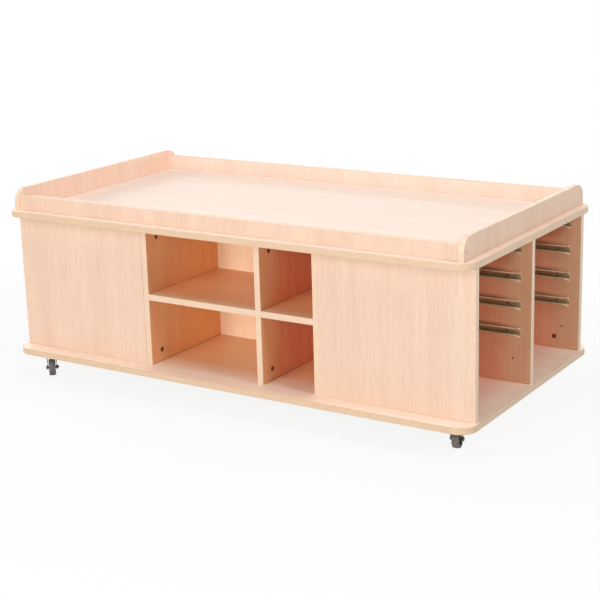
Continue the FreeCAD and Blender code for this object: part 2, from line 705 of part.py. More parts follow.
# The legs are what the outline from the side and the outlines from the front have in common
side_points = [
    ("-fork_half_length", crown_low),
    ("caster_trail - fork_boss_radius", "wheel_radius"),
    ("caster_trail + fork_boss_radius", "wheel_radius"),
    ("fork_half_length", crown_low),
]
side_body = doc.addObject("PartDesign::Body", "fork_side")
side_outline = outline_sketch(side_body, "fork_side_outline", "XZ_Plane", side_points)
padded(side_body, "fork_side_pad", side_outline, "2 * fork_shoulder")
place(side_body, "0", "fork_shoulder", "0")
side_boss = on_axle("fork_side_boss", "fork_boss_radius", "-fork_shoulder", "fork_shoulder")
front_points = [
    ("fork_shoulder - fork_sheet", crown_low),
    (leg_inner, "fork_bend_level"),
    (leg_inner, leg_foot),
    (leg_outer, leg_foot),
    (leg_outer, "fork_bend_level"),
    ("fork_shoulder", crown_low),
]
leg_sections = []
for name, sign in (("near", "-"), ("far", "")):
    leg = doc.addObject("PartDesign::Body", f"fork_{name}_leg")
    points = [(f"{sign}({across})", along) for across, along in front_points]
    outline = outline_sketch(leg, f"fork_{name}_outline", "YZ_Plane", points)
    padded(leg, f"fork_{name}_pad", outline, "fork_half_length + caster_trail + fork_boss_radius")
    leg_sections.append(place(leg, "-fork_half_length", "0", "0"))
legs = doc.addObject("Part::MultiCommon", "fork_legs")
legs.Shapes = [fuse("fork_side_whole", [side_body, side_boss]), group("fork_leg_pair", leg_sections)]
fork_hollows = [
    race,
    cylinder("fork_kingpin_bore", "kingpin_radius + running_clearance", "caster_height"),
    on_axle("fork_axle_bore", "axle_radius + glue_line", "-fork_shoulder", "fork_shoulder"),
]
fork = cut("fork", fuse("fork_folded", [crown, cup, legs]), group("fork_hollows", fork_hollows))

# Wheel: a moulded hub, dished on both sides, with a rubber tyre around it
half_wheel = "(wheel_width / 2)"
tyre_inner = "(wheel_radius - tyre_thickness)"
tyre_raw = on_axle("tyre_raw", "wheel_radius", f"-{half_wheel}", half_wheel)


def rim_circle(edge):
    return edge.BoundBox.YLength < 0.01


tyre_round = rounded("tyre_rounded", tyre_raw, size("tyre_round"), rim_circle)
tyre_core = on_axle("tyre_core", tyre_inner, f"-{half_wheel}", half_wheel)
tyre = cut("tyre", tyre_round, tyre_core)
hub_raw = on_axle("hub_raw", f"{tyre_inner} - glue_line", f"-{half_wheel}", half_wheel)
hub_hollows = [on_axle("hub_bore", "axle_radius + running_clearance", "-wheel_width", "wheel_width")]
far_recess = (f"({half_wheel} - hub_recess)", half_wheel)
for name, span in (("near", flip(far_recess)), ("far", far_recess)):
    ring = on_axle(f"hub_{name}_recess", f"{tyre_inner} - hub_wall", *span)
    boss = on_axle(f"hub_{name}_boss", "hub_boss_radius", *span)
    hub_hollows.append(cut(f"hub_{name}_hollow", ring, boss))
hub = cut("hub", hub_raw, group("hub_hollows", hub_hollows))


# Axle: a hexagon bolt through the legs and the wheel, with a nut on its far end
def hexagon(name, height, low_y):
    item = doc.addObject("Part::Prism", name)
    item.Polygon = 6
    bind(item, "Circumradius", "axle_flats / sqrt(3)")
    bind(item, "Height", height)
    return place(item, "caster_trail", low_y, "wheel_radius", facing(BACK))


nut_outer = f"({leg_outer} + axle_nut)"
bolt_head = hexagon("axle_bolt_head", "axle_head", f"-({leg_outer} + axle_head)")
bolt_shaft = on_axle("axle_bolt_shaft", "axle_radius", f"-{leg_outer}", f"{nut_outer} + axle_tail")
axle_bolt = fuse("axle_bolt", [bolt_head, bolt_shaft])
nut_blank = hexagon("axle_nut_blank", "axle_nut", leg_outer)
nut_bore = on_axle("axle_nut_bore", "axle_radius + glue_line", leg_outer, nut_outer)
axle_nut = cut("axle_nut", nut_blank, nut_bore)

plates = []
kingpins = []
plate_screws = []
balls = []
ball_step = 360 / size("ball_count")
for corner, sign_x, sign_y in corners:
    x = f"{sign_x} * {caster_x}"
    y = f"{sign_y} * {caster_y}"
    plates.append(copy_of(plate, x, y, "0"))
    kingpins.append(copy_of(kingpin, x, y, "0"))
    for a, b in hole_signs:
        screw_x = f"{x} + {a} * plate_hole_offset"
        screw_y = f"{y} + {b} * plate_hole_offset"
        plate_screws.append(copy_of(plate_screw, screw_x, screw_y, "0"))
        drill("bottom_board", plate_pilot, screw_x, screw_y, "caster_height", UP)
    for number in range(int(size("ball_count"))):
        around = FreeCAD.Rotation(UP, number * ball_step).multVec(RIGHT)
        ball_x = f"{x} + {around.x} * race_radius"
        ball_y = f"{y} + {around.y} * race_radius"
        balls.append(copy_of(ball, ball_x, ball_y, race_middle))
    turn = FreeCAD.Rotation(UP, size(f"{corner}_heading"))
    pieces = (("fork", [fork]), ("axle", [axle_bolt, axle_nut]), ("wheel", [hub]), ("tyre", [tyre]))
    for name, masters in pieces:
        label = f"{corner}_{name}"
        node(label, group(label, [copy_of(master, x, y, "0", turn) for master in masters]))
node("caster_plates", group("caster_plates", plates))
node("caster_kingpins", group("caster_kingpins", kingpins))
node("caster_screws", group("caster_screws", plate_screws))
node("caster_balls", group("caster_balls", balls))

# Boards with all their grooves and drillings
for label, blank in blanks.items():
    tools = fuse(f"{label}_drillings", drillings[label])
    node(label, cut(label, blank, tools))

# Every object has to be sound before any file is written
doc.recompute()
for item in doc.Objects:
    if "Invalid" in item.State or "Error" in item.State:
        raise RuntimeError(f"{item.Label} failed: {item.State}")
for item in nodes:
    if item.Shape.isNull() or not item.Shape.isValid():
        raise RuntimeError(f"{item.Label} has no valid shape")
os.makedirs("parts", exist_ok=True)
for item in nodes:
    item.Shape.exportStep(f"parts/{item.Label}.step")
    print(item.Label, len(item.Shape.Solids), round(item.Shape.Volume))
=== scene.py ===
import bmesh
import bpy
import json
import math
from mathutils import Matrix, Vector


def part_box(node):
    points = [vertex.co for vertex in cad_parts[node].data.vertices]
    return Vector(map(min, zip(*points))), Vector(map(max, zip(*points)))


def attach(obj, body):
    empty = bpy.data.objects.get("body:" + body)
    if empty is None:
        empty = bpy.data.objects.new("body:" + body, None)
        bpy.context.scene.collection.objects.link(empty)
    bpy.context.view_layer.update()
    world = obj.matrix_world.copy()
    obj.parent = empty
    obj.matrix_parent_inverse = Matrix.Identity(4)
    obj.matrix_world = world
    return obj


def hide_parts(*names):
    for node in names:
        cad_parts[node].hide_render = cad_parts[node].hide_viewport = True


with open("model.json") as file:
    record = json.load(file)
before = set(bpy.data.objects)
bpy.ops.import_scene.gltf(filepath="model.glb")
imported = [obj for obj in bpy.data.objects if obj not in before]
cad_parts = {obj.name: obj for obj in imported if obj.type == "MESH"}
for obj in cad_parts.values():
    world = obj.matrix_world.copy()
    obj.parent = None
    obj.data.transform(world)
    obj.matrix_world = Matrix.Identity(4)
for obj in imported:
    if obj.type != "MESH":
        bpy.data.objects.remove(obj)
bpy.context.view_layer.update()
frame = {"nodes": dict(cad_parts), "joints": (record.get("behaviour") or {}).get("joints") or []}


# Boards: 18 mm particle board faced with a melamine film that is printed with beech, cut to size, drilled and
# held together by cam locks and dowels. The print runs along the table on the level boards, and upright on
# the panels, the dividers, the middle wall and the rims.
def paint(code):
    """An sRGB hex colour as the linear colour that a shader takes."""
    channels = [int(code[start:start + 2], 16) / 255 for start in (1, 3, 5)]
    linear = [c / 12.92 if c <= 0.04045 else ((c + 0.055) / 1.055) ** 2.4 for c in channels]
    return (*linear, 1.0)


def feed(made, links):
    """Links inputs of a node, each from an output or from the output that another node is set to give."""
    sockets = {socket.identifier: socket for socket in made.inputs}
    for name, source in links.items():
        if isinstance(source, bpy.types.Node):
            source = next(output for output in source.outputs if output.enabled)
        made.id_data.links.new(source, sockets[name])


def add(tree, kind, settings=None, links=None):
    """One more node in a tree, with its settings and what feeds it."""
    made = tree.nodes.new(kind)
    sockets = {socket.identifier: socket for socket in made.inputs}
    for name, value in (settings or {}).items():
        if name in sockets:
            sockets[name].default_value = value
        else:
            setattr(made, name, value)
    feed(made, links or {})
    return made


def start_material(name):
    """A new material with its tree, its shader and the Object coordinates that its patterns read."""
    material = bpy.data.materials.new(name)
    material.use_nodes = True
    tree = material.node_tree
    where = add(tree, "ShaderNodeTexCoord").outputs["Object"]
    return material, tree, tree.nodes["Principled BSDF"], where


def dress(material, *nodes):
    """Gives a material to CAD nodes that are shown as they are."""
    for node in nodes:
        frame["nodes"][node].material_slots[0].material = material


def beech_print(tree, where, drawn_out, tones):
    """A beech print in four tones, drawn out along one axis: its colour, its growth lines and their share."""
    pale, deep, vein, dash = (paint(tone) for tone in tones)
    grain = add(tree, "ShaderNodeMapping", {"Scale": drawn_out}, {"Vector": where})
    # broad tone bands of the sawn planks, about 40 mm across
    planks = add(tree, "ShaderNodeTexNoise", {"Scale": 1 / 0.04, "Detail": 2.0, "Roughness": 0.55},
                 {"Vector": grain})
    tone = add(tree, "ShaderNodeMapRange", {"From Min": 0.28, "From Max": 0.72}, {"Value": planks})
    ground = add(tree, "ShaderNodeMix", {"data_type": "RGBA", "A_Color": pale, "B_Color": deep},
                 {"Factor_Float": tone})
    # growth lines, about 4 mm apart, coarser than the print's own 2 mm so that they show
    lines = add(tree, "ShaderNodeTexNoise", {"Scale": 1 / 0.004, "Detail": 3.0, "Roughness": 0.6},
                {"Vector": grain})
    line = add(tree, "ShaderNodeMapRange", {"From Min": 0.46, "From Max": 0.74, "To Max": 0.45},
               {"Value": lines})
    lined = add(tree, "ShaderNodeMix", {"data_type": "RGBA", "B_Color": vein},
                {"Factor_Float": line, "A_Color": ground})
    # the short dark flecks that mark beech, dashes 1.4 mm wide and ten times as long
    dashes = [1 - 0.94 * (1 - factor) for factor in drawn_out]
    fleck_grain = add(tree, "ShaderNodeMapping", {"Scale": dashes}, {"Vector": where})
    flecks = add(tree, "ShaderNodeTexNoise", {"Scale": 1 / 0.0014, "Detail": 1.0}, {"Vector": fleck_grain})
    fleck = add(tree, "ShaderNodeMapRange", {"From Min": 0.60, "From Max": 0.72, "To Max": 0.28},
                {"Value": flecks})
    flecked = add(tree, "ShaderNodeMix", {"data_type": "RGBA", "B_Color": dash},
                  {"Factor_Float": fleck, "A_Color": lined})
    return flecked, lines, line


def dust_and_shade_joints(tree, colour, height, joints):
    """Hairlines of dust and painted shade where a board stands on another or meets it from below, 1.6 mm
    wide.
    """
    for level, strength in joints:
        near_joint = add(tree, "ShaderNodeMath", {"operation": "COMPARE", "Value_001": level,
                                                  "Value_002": 0.0016}, {"Value": height})
        dusty = add(tree, "ShaderNodeMath", {"operation": "MULTIPLY", "Value_001": strength},
                    {"Value": near_joint})
        # the hairline's colour: dust, and painted shade where the boards meet
        colour = add(tree, "ShaderNodeMix", {"data_type": "RGBA", "B_Color": paint("#9a6f52")},
                     {"Factor_Float": dusty, "A_Color": colour})
    return colour


def tint_sides(tree, colour, where, place, tints):
    """Paints light and shade into the print as tints on the sides that look one way, inwards or outwards
    along an axis, each tint ramped up by how far off the table's middle a point lies along other axes."""
    normal = add(tree, "ShaderNodeNewGeometry").outputs["True Normal"]
    outward = add(tree, "ShaderNodeVectorMath", {"operation": "MULTIPLY"},
                  {"Vector": normal, "Vector_001": where})
    side = add(tree, "ShaderNodeSeparateXYZ", {}, {"Vector": outward}).outputs
    for tint, (across, sense), ramps in tints:
        share = add(tree, "ShaderNodeMath", {"operation": sense, "Value_001": 0.0}, {"Value": side[across]})
        for axis, starts, full in ramps:
            off = add(tree, "ShaderNodeMath", {"operation": "ABSOLUTE"}, {"Value": place[axis]})
            ramp = add(tree, "ShaderNodeMapRange", {"From Min": starts, "From Max": full}, {"Value": off})
            share = add(tree, "ShaderNodeMath", {"operation": "MULTIPLY"},
                        {"Value": share, "Value_001": ramp})
        colour = add(tree, "ShaderNodeMix",
                     {"data_type": "RGBA", "blend_type": "MULTIPLY", "B_Color": (*tint, 1.0)},
                     {"Factor_Float": share, "A_Color": colour})
    return colour


def show_core(tree, colour, where, place, faces):
    """The colour with the core in it, where holes and sawn edges cut through the film, and where that is."""
    axis, low, high = faces
    depth = add(tree, "ShaderNodeMath", {"operation": "ABSOLUTE"}, {"Value": place[axis]})
    film = 0.0004
    cut = add(tree, "ShaderNodeMath", {"operation": "COMPARE", "Value_001": (low + high) / 2,
                                       "Value_002": (high - low) / 2 - film}, {"Value": depth})
    # pressed chips in dark brown flakes of 2 mm, painted far darker than the chips are, as the shade deep in
    # the holes
    flakes = add(tree, "ShaderNodeTexVoronoi", {"Scale": 1 / 0.002}, {"Vector": where})
    core = add(tree, "ShaderNodeMix",
               {"data_type": "RGBA", "A_Color": paint("#3f2b1f"), "B_Color": paint("#211610")},
               {"Factor_Float": flakes.outputs["Distance"]})
    shown = add(tree, "ShaderNodeMix", {"data_type": "RGBA"},
                {"Factor_Float": cut, "A_Color": colour, "B_Color": core})
    return shown, cut


def beech_melamine(name, faces, drawn_out, tones, joints=(), tints=(), satin=(0.46, 0.60)):
    """Beech print, drawn out along one axis, on the two faces of a board of chips."""
    material, tree, shader, where = start_material(name)
    place = add(tree, "ShaderNodeSeparateXYZ", {}, {"Vector": where}).outputs
    colour, lines, line = beech_print(tree, where, drawn_out, tones)
    colour = dust_and_shade_joints(tree, colour, place["Z"], joints)
    if tints:
        colour = tint_sides(tree, colour, where, place, tints)
    colour, cut = show_core(tree, colour, where, place, faces)
    # satin press plate: an even sheen, a little duller in the embossed lines
    sheen = add(tree, "ShaderNodeMapRange", {"To Min": satin[0], "To Max": satin[1]}, {"Value": lines})
    matt = add(tree, "ShaderNodeMath", {"operation": "MAXIMUM"}, {"Value": sheen, "Value_001": cut})
    emboss = add(tree, "ShaderNodeBump", {"Strength": 0.12, "Distance": 0.0002, "invert": True},
                 {"Height": line})
    gloss = add(tree, "ShaderNodeMapRange", {"To Min": 0.5, "To Max": 0.05}, {"Value": cut})
    feed(shader, {"Base Color": colour, "Roughness": matt, "Specular IOR Level": gloss, "Normal": emboss})
    shader.inputs["IOR"].default_value = 1.5
    return material


def film_faces(board, axis):
    """The axis across a board, and where its two faces lie on it."""
    low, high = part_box(board)
    at = "XYZ".index(axis)
    return axis, low[at], high[at]


# the way that the print runs, and the roughness of boards that boxes and trays have rubbed smooth
lengthwise = (0.04, 1.0, 1.0)
upright = (1.0, 1.0, 0.04)
polished = (0.34, 0.48)
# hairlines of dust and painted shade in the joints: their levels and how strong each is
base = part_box("bottom_board")[1].z
ceiling, surface = (corner.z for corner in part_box("top_board"))
shelf_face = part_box("front_wide_shelf")[1].z
carcass_joints = ((base, 0.3), (ceiling, 0.3))
divider_joints = ((base, 0.9), (shelf_face, 0.6), (ceiling, 0.3))
rim_joint = ((surface, 0.2),)

# the top has the palest copy of the print, painted light, and the ledges outside the end rims carry a painted
# highlight that makes them paler still. A tint holds what the print is multiplied by, the sides that it lies
# on,
# and its ramps: an axis, where each starts and is full
upwards = ("Z", "GREATER_THAN")
sharp = 0.0005
end_rim_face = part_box("rim_right")[1].x
outside_rims = ("X", end_rim_face - sharp, end_rim_face + sharp)
top_tones = ("#efdacc", "#e9d0c0", "#e0c2ae", "#d5b09a")
top_tints = (((1.14, 1.08, 1.06), upwards, (outside_rims,)),)
dress(beech_melamine("pale_beech_melamine_top", film_faces("top_board", "Z"), lengthwise, top_tones,
                     tints=top_tints), "top_board")

# the rims are copies of one print in tones set to the light on each, painted light and shade: pale at the
# back, pinkish in front and on the right, warm on the left; the outer tones are darker to offset the strong
# light outside
long_rim_faces = film_faces("rim_back", "Y")
end_rim_faces = film_faces("rim_right", "X")
outer_tones = ("#dabea8", "#d3b39c", "#c79f85", "#b98e72")
back_rim_tones = ("#ecd5c5", "#e6cbb9", "#ddbda7", "#d2ab93")
left_rim_tones = ("#f4d4bf", "#eec8b0", "#e0b297", "#d09c81")
for rim, name, faces, tones in (
        ("rim_back", "pale_beech_melamine_back_rim", long_rim_faces, back_rim_tones),
        ("rim_front", "beech_melamine_front_rim", long_rim_faces, outer_tones),
        ("rim_right", "beech_melamine_right_rim", end_rim_faces, outer_tones),
        ("rim_left", "warm_beech_melamine_left_rim", end_rim_faces, left_rim_tones)):
    dress(beech_melamine(name, faces, upright, tones, rim_joint), rim)

# inside the bays the print is painted redder and darker, more so towards the back: painted shade and bounce
# light
panel_low, panel_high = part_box("back_right_panel")
divider_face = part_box("cross_divider_right")[0].x
in_shelf_bays = ("X", divider_face + sharp, divider_face)
in_tray_bays = ("X", divider_face, divider_face + sharp)


def behind_mouth(starts, full):
    """A ramp between two distances from the mouth of a tray bay inwards."""
    return "X", panel_high.x - starts, panel_high.x - full


def behind_front(starts, full):
    """A ramp between two distances from the front of a shelf bay inwards."""
    return "Y", panel_high.y - starts, panel_high.y - full


# the bottom board is the floor of the shelf bays and of the tray bays, and the shelves halve the former
# the floor is a paler copy of the print, painted light, with painted shade that deepens into the shelf bays
# and the tray bays
floor_tones = ("#fee9d7", "#fadecb", "#eecab3", "#dfb49b")
floor_tints = (((0.92, 0.66, 0.44), upwards, (behind_front(0.018, 0.108), in_shelf_bays)),
               ((0.90, 0.72, 0.70), upwards,
                (behind_mouth(0.030, 0.100), behind_front(0.0, 0.018), in_tray_bays)))
dress(beech_melamine("warm_beech_melamine_floor", film_faces("bottom_board", "Z"), lengthwise, floor_tones,
                     tints=floor_tints, satin=polished), "bottom_board")
# the shelves are their own lit copy of the print, with painted shade that reddens and deepens towards the
# back
shelf_tones = ("#f6dec2", "#efcfaf", "#e1b993", "#d0a27a")
shelf_tints = (((0.99, 0.66, 0.47), upwards, (behind_front(0.0, 0.048),)),)
dress(beech_melamine("deep_beech_melamine_shelf", film_faces("front_wide_shelf", "Z"), lengthwise,
                     shelf_tones, tints=shelf_tints, satin=polished),
      "front_wide_shelf", "front_narrow_shelf", "back_wide_shelf", "back_narrow_shelf")

# the dividers have the deepest copy of the print, painted shade of the bays; the cross dividers are painted
# redder towards the back as bounce light, and the shelf dividers darker in the narrow bays as painted shade
divider_tones = ("#f4ba8b", "#edad79", "#de9964", "#cd8552")
into_shelf_bays = ("X", "LESS_THAN")
cross_divider_tints = (((1.08, 1.02, 0.82), into_shelf_bays, (behind_front(0.008, 0.248),)),)
dress(beech_melamine("deep_beech_melamine_cross_divider", film_faces("cross_divider_right", "X"), upright,
                     divider_tones, divider_joints, cross_divider_tints),
      "cross_divider_left", "cross_divider_right")
into_narrow_bay = ("X", "GREATER_THAN")
shelf_divider_tints = (((0.96, 0.66, 0.84), into_narrow_bay, (behind_front(0.018, 0.148),)),)
dress(beech_melamine("deep_beech_melamine_shelf_divider", film_faces("front_shelf_divider", "X"), upright,
                     divider_tones, divider_joints, shelf_divider_tints),
      "front_shelf_divider", "back_shelf_divider")

# the middle wall is a paler, yellowish copy of the print behind the shelves: painted light
spine_faces = film_faces("spine_middle", "Y")
spine_tones = ("#fbe0bf", "#f6d4b0", "#e8be97", "#d8a881")
dress(beech_melamine("warm_beech_melamine_wall", spine_faces, upright, spine_tones, carcass_joints),
      "spine_middle")

# the walls of the tray bays also carry painted shade under the top, and a line of painted shade above each
# tray runner
runner_pitch = 0.076
spare_level = 0.067
runner_levels = [base + spare_level + step * runner_pitch for step in (1, 2, 3, 4)]


def tray_wall_shades(looks):
    """Painted shade for the side of a wall that looks into a tray bay."""
    under_top = ((0.84, 0.70, 0.68), looks,
                 (behind_mouth(0.020, 0.070), ("Z", ceiling - 0.101, ceiling - 0.066)))
    above_runners = (((0.36, 0.30, 0.25), looks,
                      (behind_mouth(0.018, 0.100), ("Z", level + 0.0215, level + 0.0100),
                       ("Z", level, level + 0.0010)))
                     for level in runner_levels)
    return under_top, *above_runners


from_panel = ("Y", "LESS_THAN")
from_spine = ("Y", "GREATER_THAN")
# the panels' inner sides are painted redder as bounce light, and darker towards the back of the tray bays as
# painted shade
panel_tints = (((1.22, 1.00, 0.82), from_panel, ()),
               ((1.12, 0.90, 0.88), from_panel, (behind_mouth(0.050, 0.100),)),
               *tray_wall_shades(from_panel))
dress(beech_melamine("beech_melamine_panel", film_faces("back_right_panel", "Y"), upright, outer_tones,
                     carcass_joints, panel_tints),
      "front_left_panel", "front_right_panel", "back_left_panel", "back_right_panel")
# the walls beside the tray bays are a browner copy of the print, painted shade, and darker still towards the
# back
bay_tones = ("#f1c29b", "#eab58c", "#dca078", "#cc8d65")
spine_tints = (((1.10, 0.87, 0.86), from_spine, (behind_mouth(0.050, 0.100),)), *tray_wall_shades(from_spine))
dress(beech_melamine("brown_beech_melamine_wall", spine_faces, upright, bay_tones, carcass_joints,
                     spine_tints), "spine_left", "spine_right")


# Edge bands: 2 mm extruded plastic strip, glued on with hot melt and milled round along its two edges. The
# level boards have a plain beige one, and the rims and the uprights a paler one that is near the beech.
def edge_band(name, pale, deep):
    """Extruded plastic strip in two close tones, smooth and satin."""
    material, tree, shader, where = start_material(name)
    # faint clouding of the extrusion, about 25 mm
    clouds = add(tree, "ShaderNodeTexNoise", {"Scale": 1 / 0.025, "Detail": 2.0}, {"Vector": where})
    tint = add(tree, "ShaderNodeMix", {"data_type": "RGBA", "A_Color": paint(pale), "B_Color": paint(deep)},
               {"Factor_Float": clouds})
    # drag marks of the scraper, drawn as 1.5 mm grain because the real ones are too fine to show
    scrape = add(tree, "ShaderNodeTexNoise", {"Scale": 1 / 0.0015, "Detail": 2.0}, {"Vector": where})
    sheen = add(tree, "ShaderNodeMapRange", {"To Min": 0.32, "To Max": 0.46}, {"Value": scrape})
    ripple = add(tree, "ShaderNodeBump", {"Strength": 0.08, "Distance": 0.0001}, {"Height": scrape})
    feed(shader, {"Base Color": tint, "Roughness": sheen, "Normal": ripple})
    shader.inputs["IOR"].default_value = 1.53
    return material


band_thickness = 0.002
dress(edge_band("beige_extruded_edge_band", "#d2b598", "#c6a888"), "top_edge_band", "bottom_edge_band")
dress(edge_band("pale_extruded_edge_band", "#dcc0a6", "#d3b498"), "rim_edge_bands", "carcass_edge_bands")

# Dowels: fluted beech pins, 8 mm thick, glued into blind holes where boards meet without a cam lock. They
# show only at the joints' hidden faces, as raw wood with open end grain.
raw_beech, tree, shader, where = start_material("raw_beech_dowel")
# pores about 1 mm across give the turned pins a dry, uneven tan
pores = add(tree, "ShaderNodeTexNoise", {"Scale": 1 / 0.001, "Detail": 3.0}, {"Vector": where})
tint = add(tree, "ShaderNodeMix",
           {"data_type": "RGBA", "A_Color": paint("#dcbd94"), "B_Color": paint("#c39c70")},
           {"Factor_Float": pores})
dry = add(tree, "ShaderNodeMapRange", {"To Min": 0.65, "To Max": 0.85}, {"Value": pores})
fibres = add(tree, "ShaderNodeBump", {"Strength": 0.3, "Distance": 0.0002}, {"Height": pores})
feed(shader, {"Base Color": tint, "Roughness": dry, "Normal": fibres})
shader.inputs["IOR"].default_value = 1.5
dress(raw_beech, "wood_dowels")


# Cam locks: die-cast zinc discs with a cross for the screwdriver, sunk a millimetre into the faces of the
# uprights. Each draws in the head of a steel bolt that is screwed into the board above or below.
def pick(kind, wanted):
    """Selects those vertices, edges or faces of the piece in edit mode that pass a test."""
    bpy.ops.mesh.select_mode(type=kind)
    bpy.ops.mesh.select_all(action="DESELECT")
    mesh = bmesh.from_edit_mesh(bpy.context.object.data)
    for item in {"VERT": mesh.verts, "EDGE": mesh.edges, "FACE": mesh.faces}[kind]:
        if wanted(item):
            item.select_set(True)
    mesh.select_flush_mode()
    bmesh.update_edit_mesh(bpy.context.object.data)


def start_cylinder(sides, radius, depth, place, turn=(0, 0, 0)):
    """A cylinder at its size and place, in edit mode."""
    bpy.ops.object.select_all(action="DESELECT")
    bpy.ops.mesh.primitive_cylinder_add(vertices=sides, radius=radius, depth=depth, location=place,
                                        rotation=turn)
    bpy.ops.object.transform_apply(location=True, rotation=True, scale=True)
    bpy.ops.object.mode_set(mode="EDIT")
    return bpy.context.object


def start_block(size, place):
    """A block at its size and place, in edit mode."""
    bpy.ops.object.select_all(action="DESELECT")
    bpy.ops.mesh.primitive_cube_add(size=1, location=place, scale=size)
    bpy.ops.object.transform_apply(location=True, rotation=True, scale=True)
    bpy.ops.object.mode_set(mode="EDIT")
    return bpy.context.object


def apply_modifier(piece, kind, **settings):
    """Puts a modifier on a piece and applies it."""
    bpy.context.view_layer.objects.active = piece
    modifier = piece.modifiers.new("work", kind)
    for name, value in settings.items():
        setattr(modifier, name, value)
    bpy.ops.object.modifier_apply(modifier="work")


def sink_cross(head, level, reach, width, depth):
    """Sinks a driver's cross into the face of a head that looks down its own -Z at a level."""
    taper = 0.7
    cutter = start_block((width, width, 2 * depth), (0, 0, level))
    pick("FACE", lambda face: abs(face.normal.z) < 0.5)
    bpy.ops.mesh.extrude_faces_move(TRANSFORM_OT_shrink_fatten={"value": reach - width / 2})
    pick("VERT", lambda vert: vert.co.z > level)
    bpy.ops.transform.resize(value=(taper, taper, 1), center_override=(0, 0, level))
    bpy.ops.object.mode_set(mode="OBJECT")
    apply_modifier(head, "BOOLEAN", object=cutter, operation="DIFFERENCE", solver="EXACT")
    bpy.data.objects.remove(cutter)


def smooth(piece, degrees):
    """Shades a piece smooth, apart from the edges that turn by more than an angle."""
    bpy.ops.object.select_all(action="DESELECT")
    piece.select_set(True)
    bpy.context.view_layer.objects.active = piece
    bpy.ops.object.shade_smooth_by_angle(angle=math.radians(degrees))


def looking(along, place):
    """The placement that takes local +Z to a direction and the origin to a place."""
    return Matrix.Translation(place) @ Vector(along).to_track_quat("Z", "Y").to_matrix().to_4x4()


def set_out(master, name, places):
    """One piece made of copies of a master at all its places."""
    bpy.ops.object.select_all(action="DESELECT")
    for place in places:
        one = master.copy()
        one.data = master.data.copy()
        one.data.transform(place)
        bpy.context.collection.objects.link(one)
        one.select_set(True)
        bpy.context.view_layer.objects.active = one
    if len(places) > 1:
        bpy.ops.object.join()
    piece = bpy.context.object
    piece.name = name
    piece.data.name = name
    return piece


# a point this near to a plane lies on it
near = 1e-5
cam_radius = 0.0074
cam_depth = 0.0112
cam_sunk = 0.0010
cam_rim = 0.0011
cam_dish = 0.0005
cam = start_cylinder(40, cam_radius, cam_depth, (0, 0, cam_sunk + cam_depth / 2))
pick("EDGE", lambda edge: all(vert.co.z < cam_sunk + near for vert in edge.verts))
bpy.ops.mesh.bevel(offset=0.0003, segments=2, affect="EDGES")
pick("FACE", lambda face: face.normal.z < -0.9)
bpy.ops.mesh.inset(thickness=cam_rim)
bpy.ops.transform.translate(value=(0, 0, cam_dish))
bpy.ops.object.mode_set(mode="OBJECT")
sink_cross(cam, level=cam_sunk + cam_dish, reach=0.0045, width=0.0020, depth=0.0030)
smooth(cam, 35)

cam_edge = 0.034
cam_setback = 0.048
cam_end_setback = 0.075
cam_rows = (base + cam_edge, ceiling - cam_edge)
cam_y = panel_high.y - cam_setback
tray_bay_cams = (panel_high.x + band_thickness - cam_end_setback, panel_low.x + cam_end_setback)
panel_face = panel_low.y
spine_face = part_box("spine_right")[1].y
shelf_divider_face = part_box("front_shelf_divider")[1].x
cam_spots = []
for z in cam_rows:
    for y in (-cam_y, cam_y):
        cam_spots.append(looking((1, 0, 0), (divider_face, y, z)))
        cam_spots.append(looking((-1, 0, 0), (-divider_face, y, z)))
    cam_spots.append(looking((-1, 0, 0), (shelf_divider_face, -cam_y, z)))
    cam_spots.append(looking((1, 0, 0), (-shelf_divider_face, cam_y, z)))
for end in (-1, 1):
    for x in tray_bay_cams:
        cam_spots.append(looking((0, -1, 0), (end * x, -panel_face, cam_rows[0])))
        cam_spots.append(looking((0, 1, 0), (end * x, panel_face, cam_rows[0])))
        cam_spots.append(looking((0, -end, 0), (end * x, end * spine_face, cam_rows[0])))
cams = set_out(cam, "cam_lock_discs", cam_spots)
bpy.data.objects.remove(cam)
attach(cams, "table")
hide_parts("cam_locks")


def plated_metal(name, bright, dull, roughness, spot):
    """Plated metal whose sheen clouds over between two tones in spots of a given size."""
    material, tree, shader, where = start_material(name)
    shader.inputs["Metallic"].default_value = 1.0
    clouds = add(tree, "ShaderNodeTexNoise", {"Scale": 1 / spot, "Detail": 4.0, "Roughness": 0.6},
                 {"Vector": where})
    cloud = add(tree, "ShaderNodeMapRange", {"From Min": 0.3, "From Max": 0.7}, {"Value": clouds})
    tint = add(tree, "ShaderNodeMix", {"data_type": "RGBA", "A_Color": paint(bright), "B_Color": paint(dull)},
               {"Factor_Float": cloud})
    haze = add(tree, "ShaderNodeMapRange", {"To Min": roughness - 0.08, "To Max": roughness + 0.1},
               {"Value": clouds})
    # fine tool and barrel marks, drawn as 0.4 mm grain
    marks = add(tree, "ShaderNodeTexNoise", {"Scale": 1 / 0.0004, "Detail": 1.0}, {"Vector": where})
    bump = add(tree, "ShaderNodeBump", {"Strength": 0.1, "Distance": 0.00005}, {"Height": marks})
    feed(shader, {"Base Color": tint, "Roughness": haze, "Normal": bump})
    return material


# die-cast zinc, tumbled and browned: a dull, warm sheen
cams.data.materials.append(plated_metal("browned_die_cast_zinc", "#ab7d5e", "#7f573c", 0.42, spot=0.004))
# turned steel bolts with thin bright zinc
dress(plated_metal("zinc_plated_bolt_steel", "#c3c2bd", "#a3a19b", 0.32, spot=0.003), "cam_bolts")

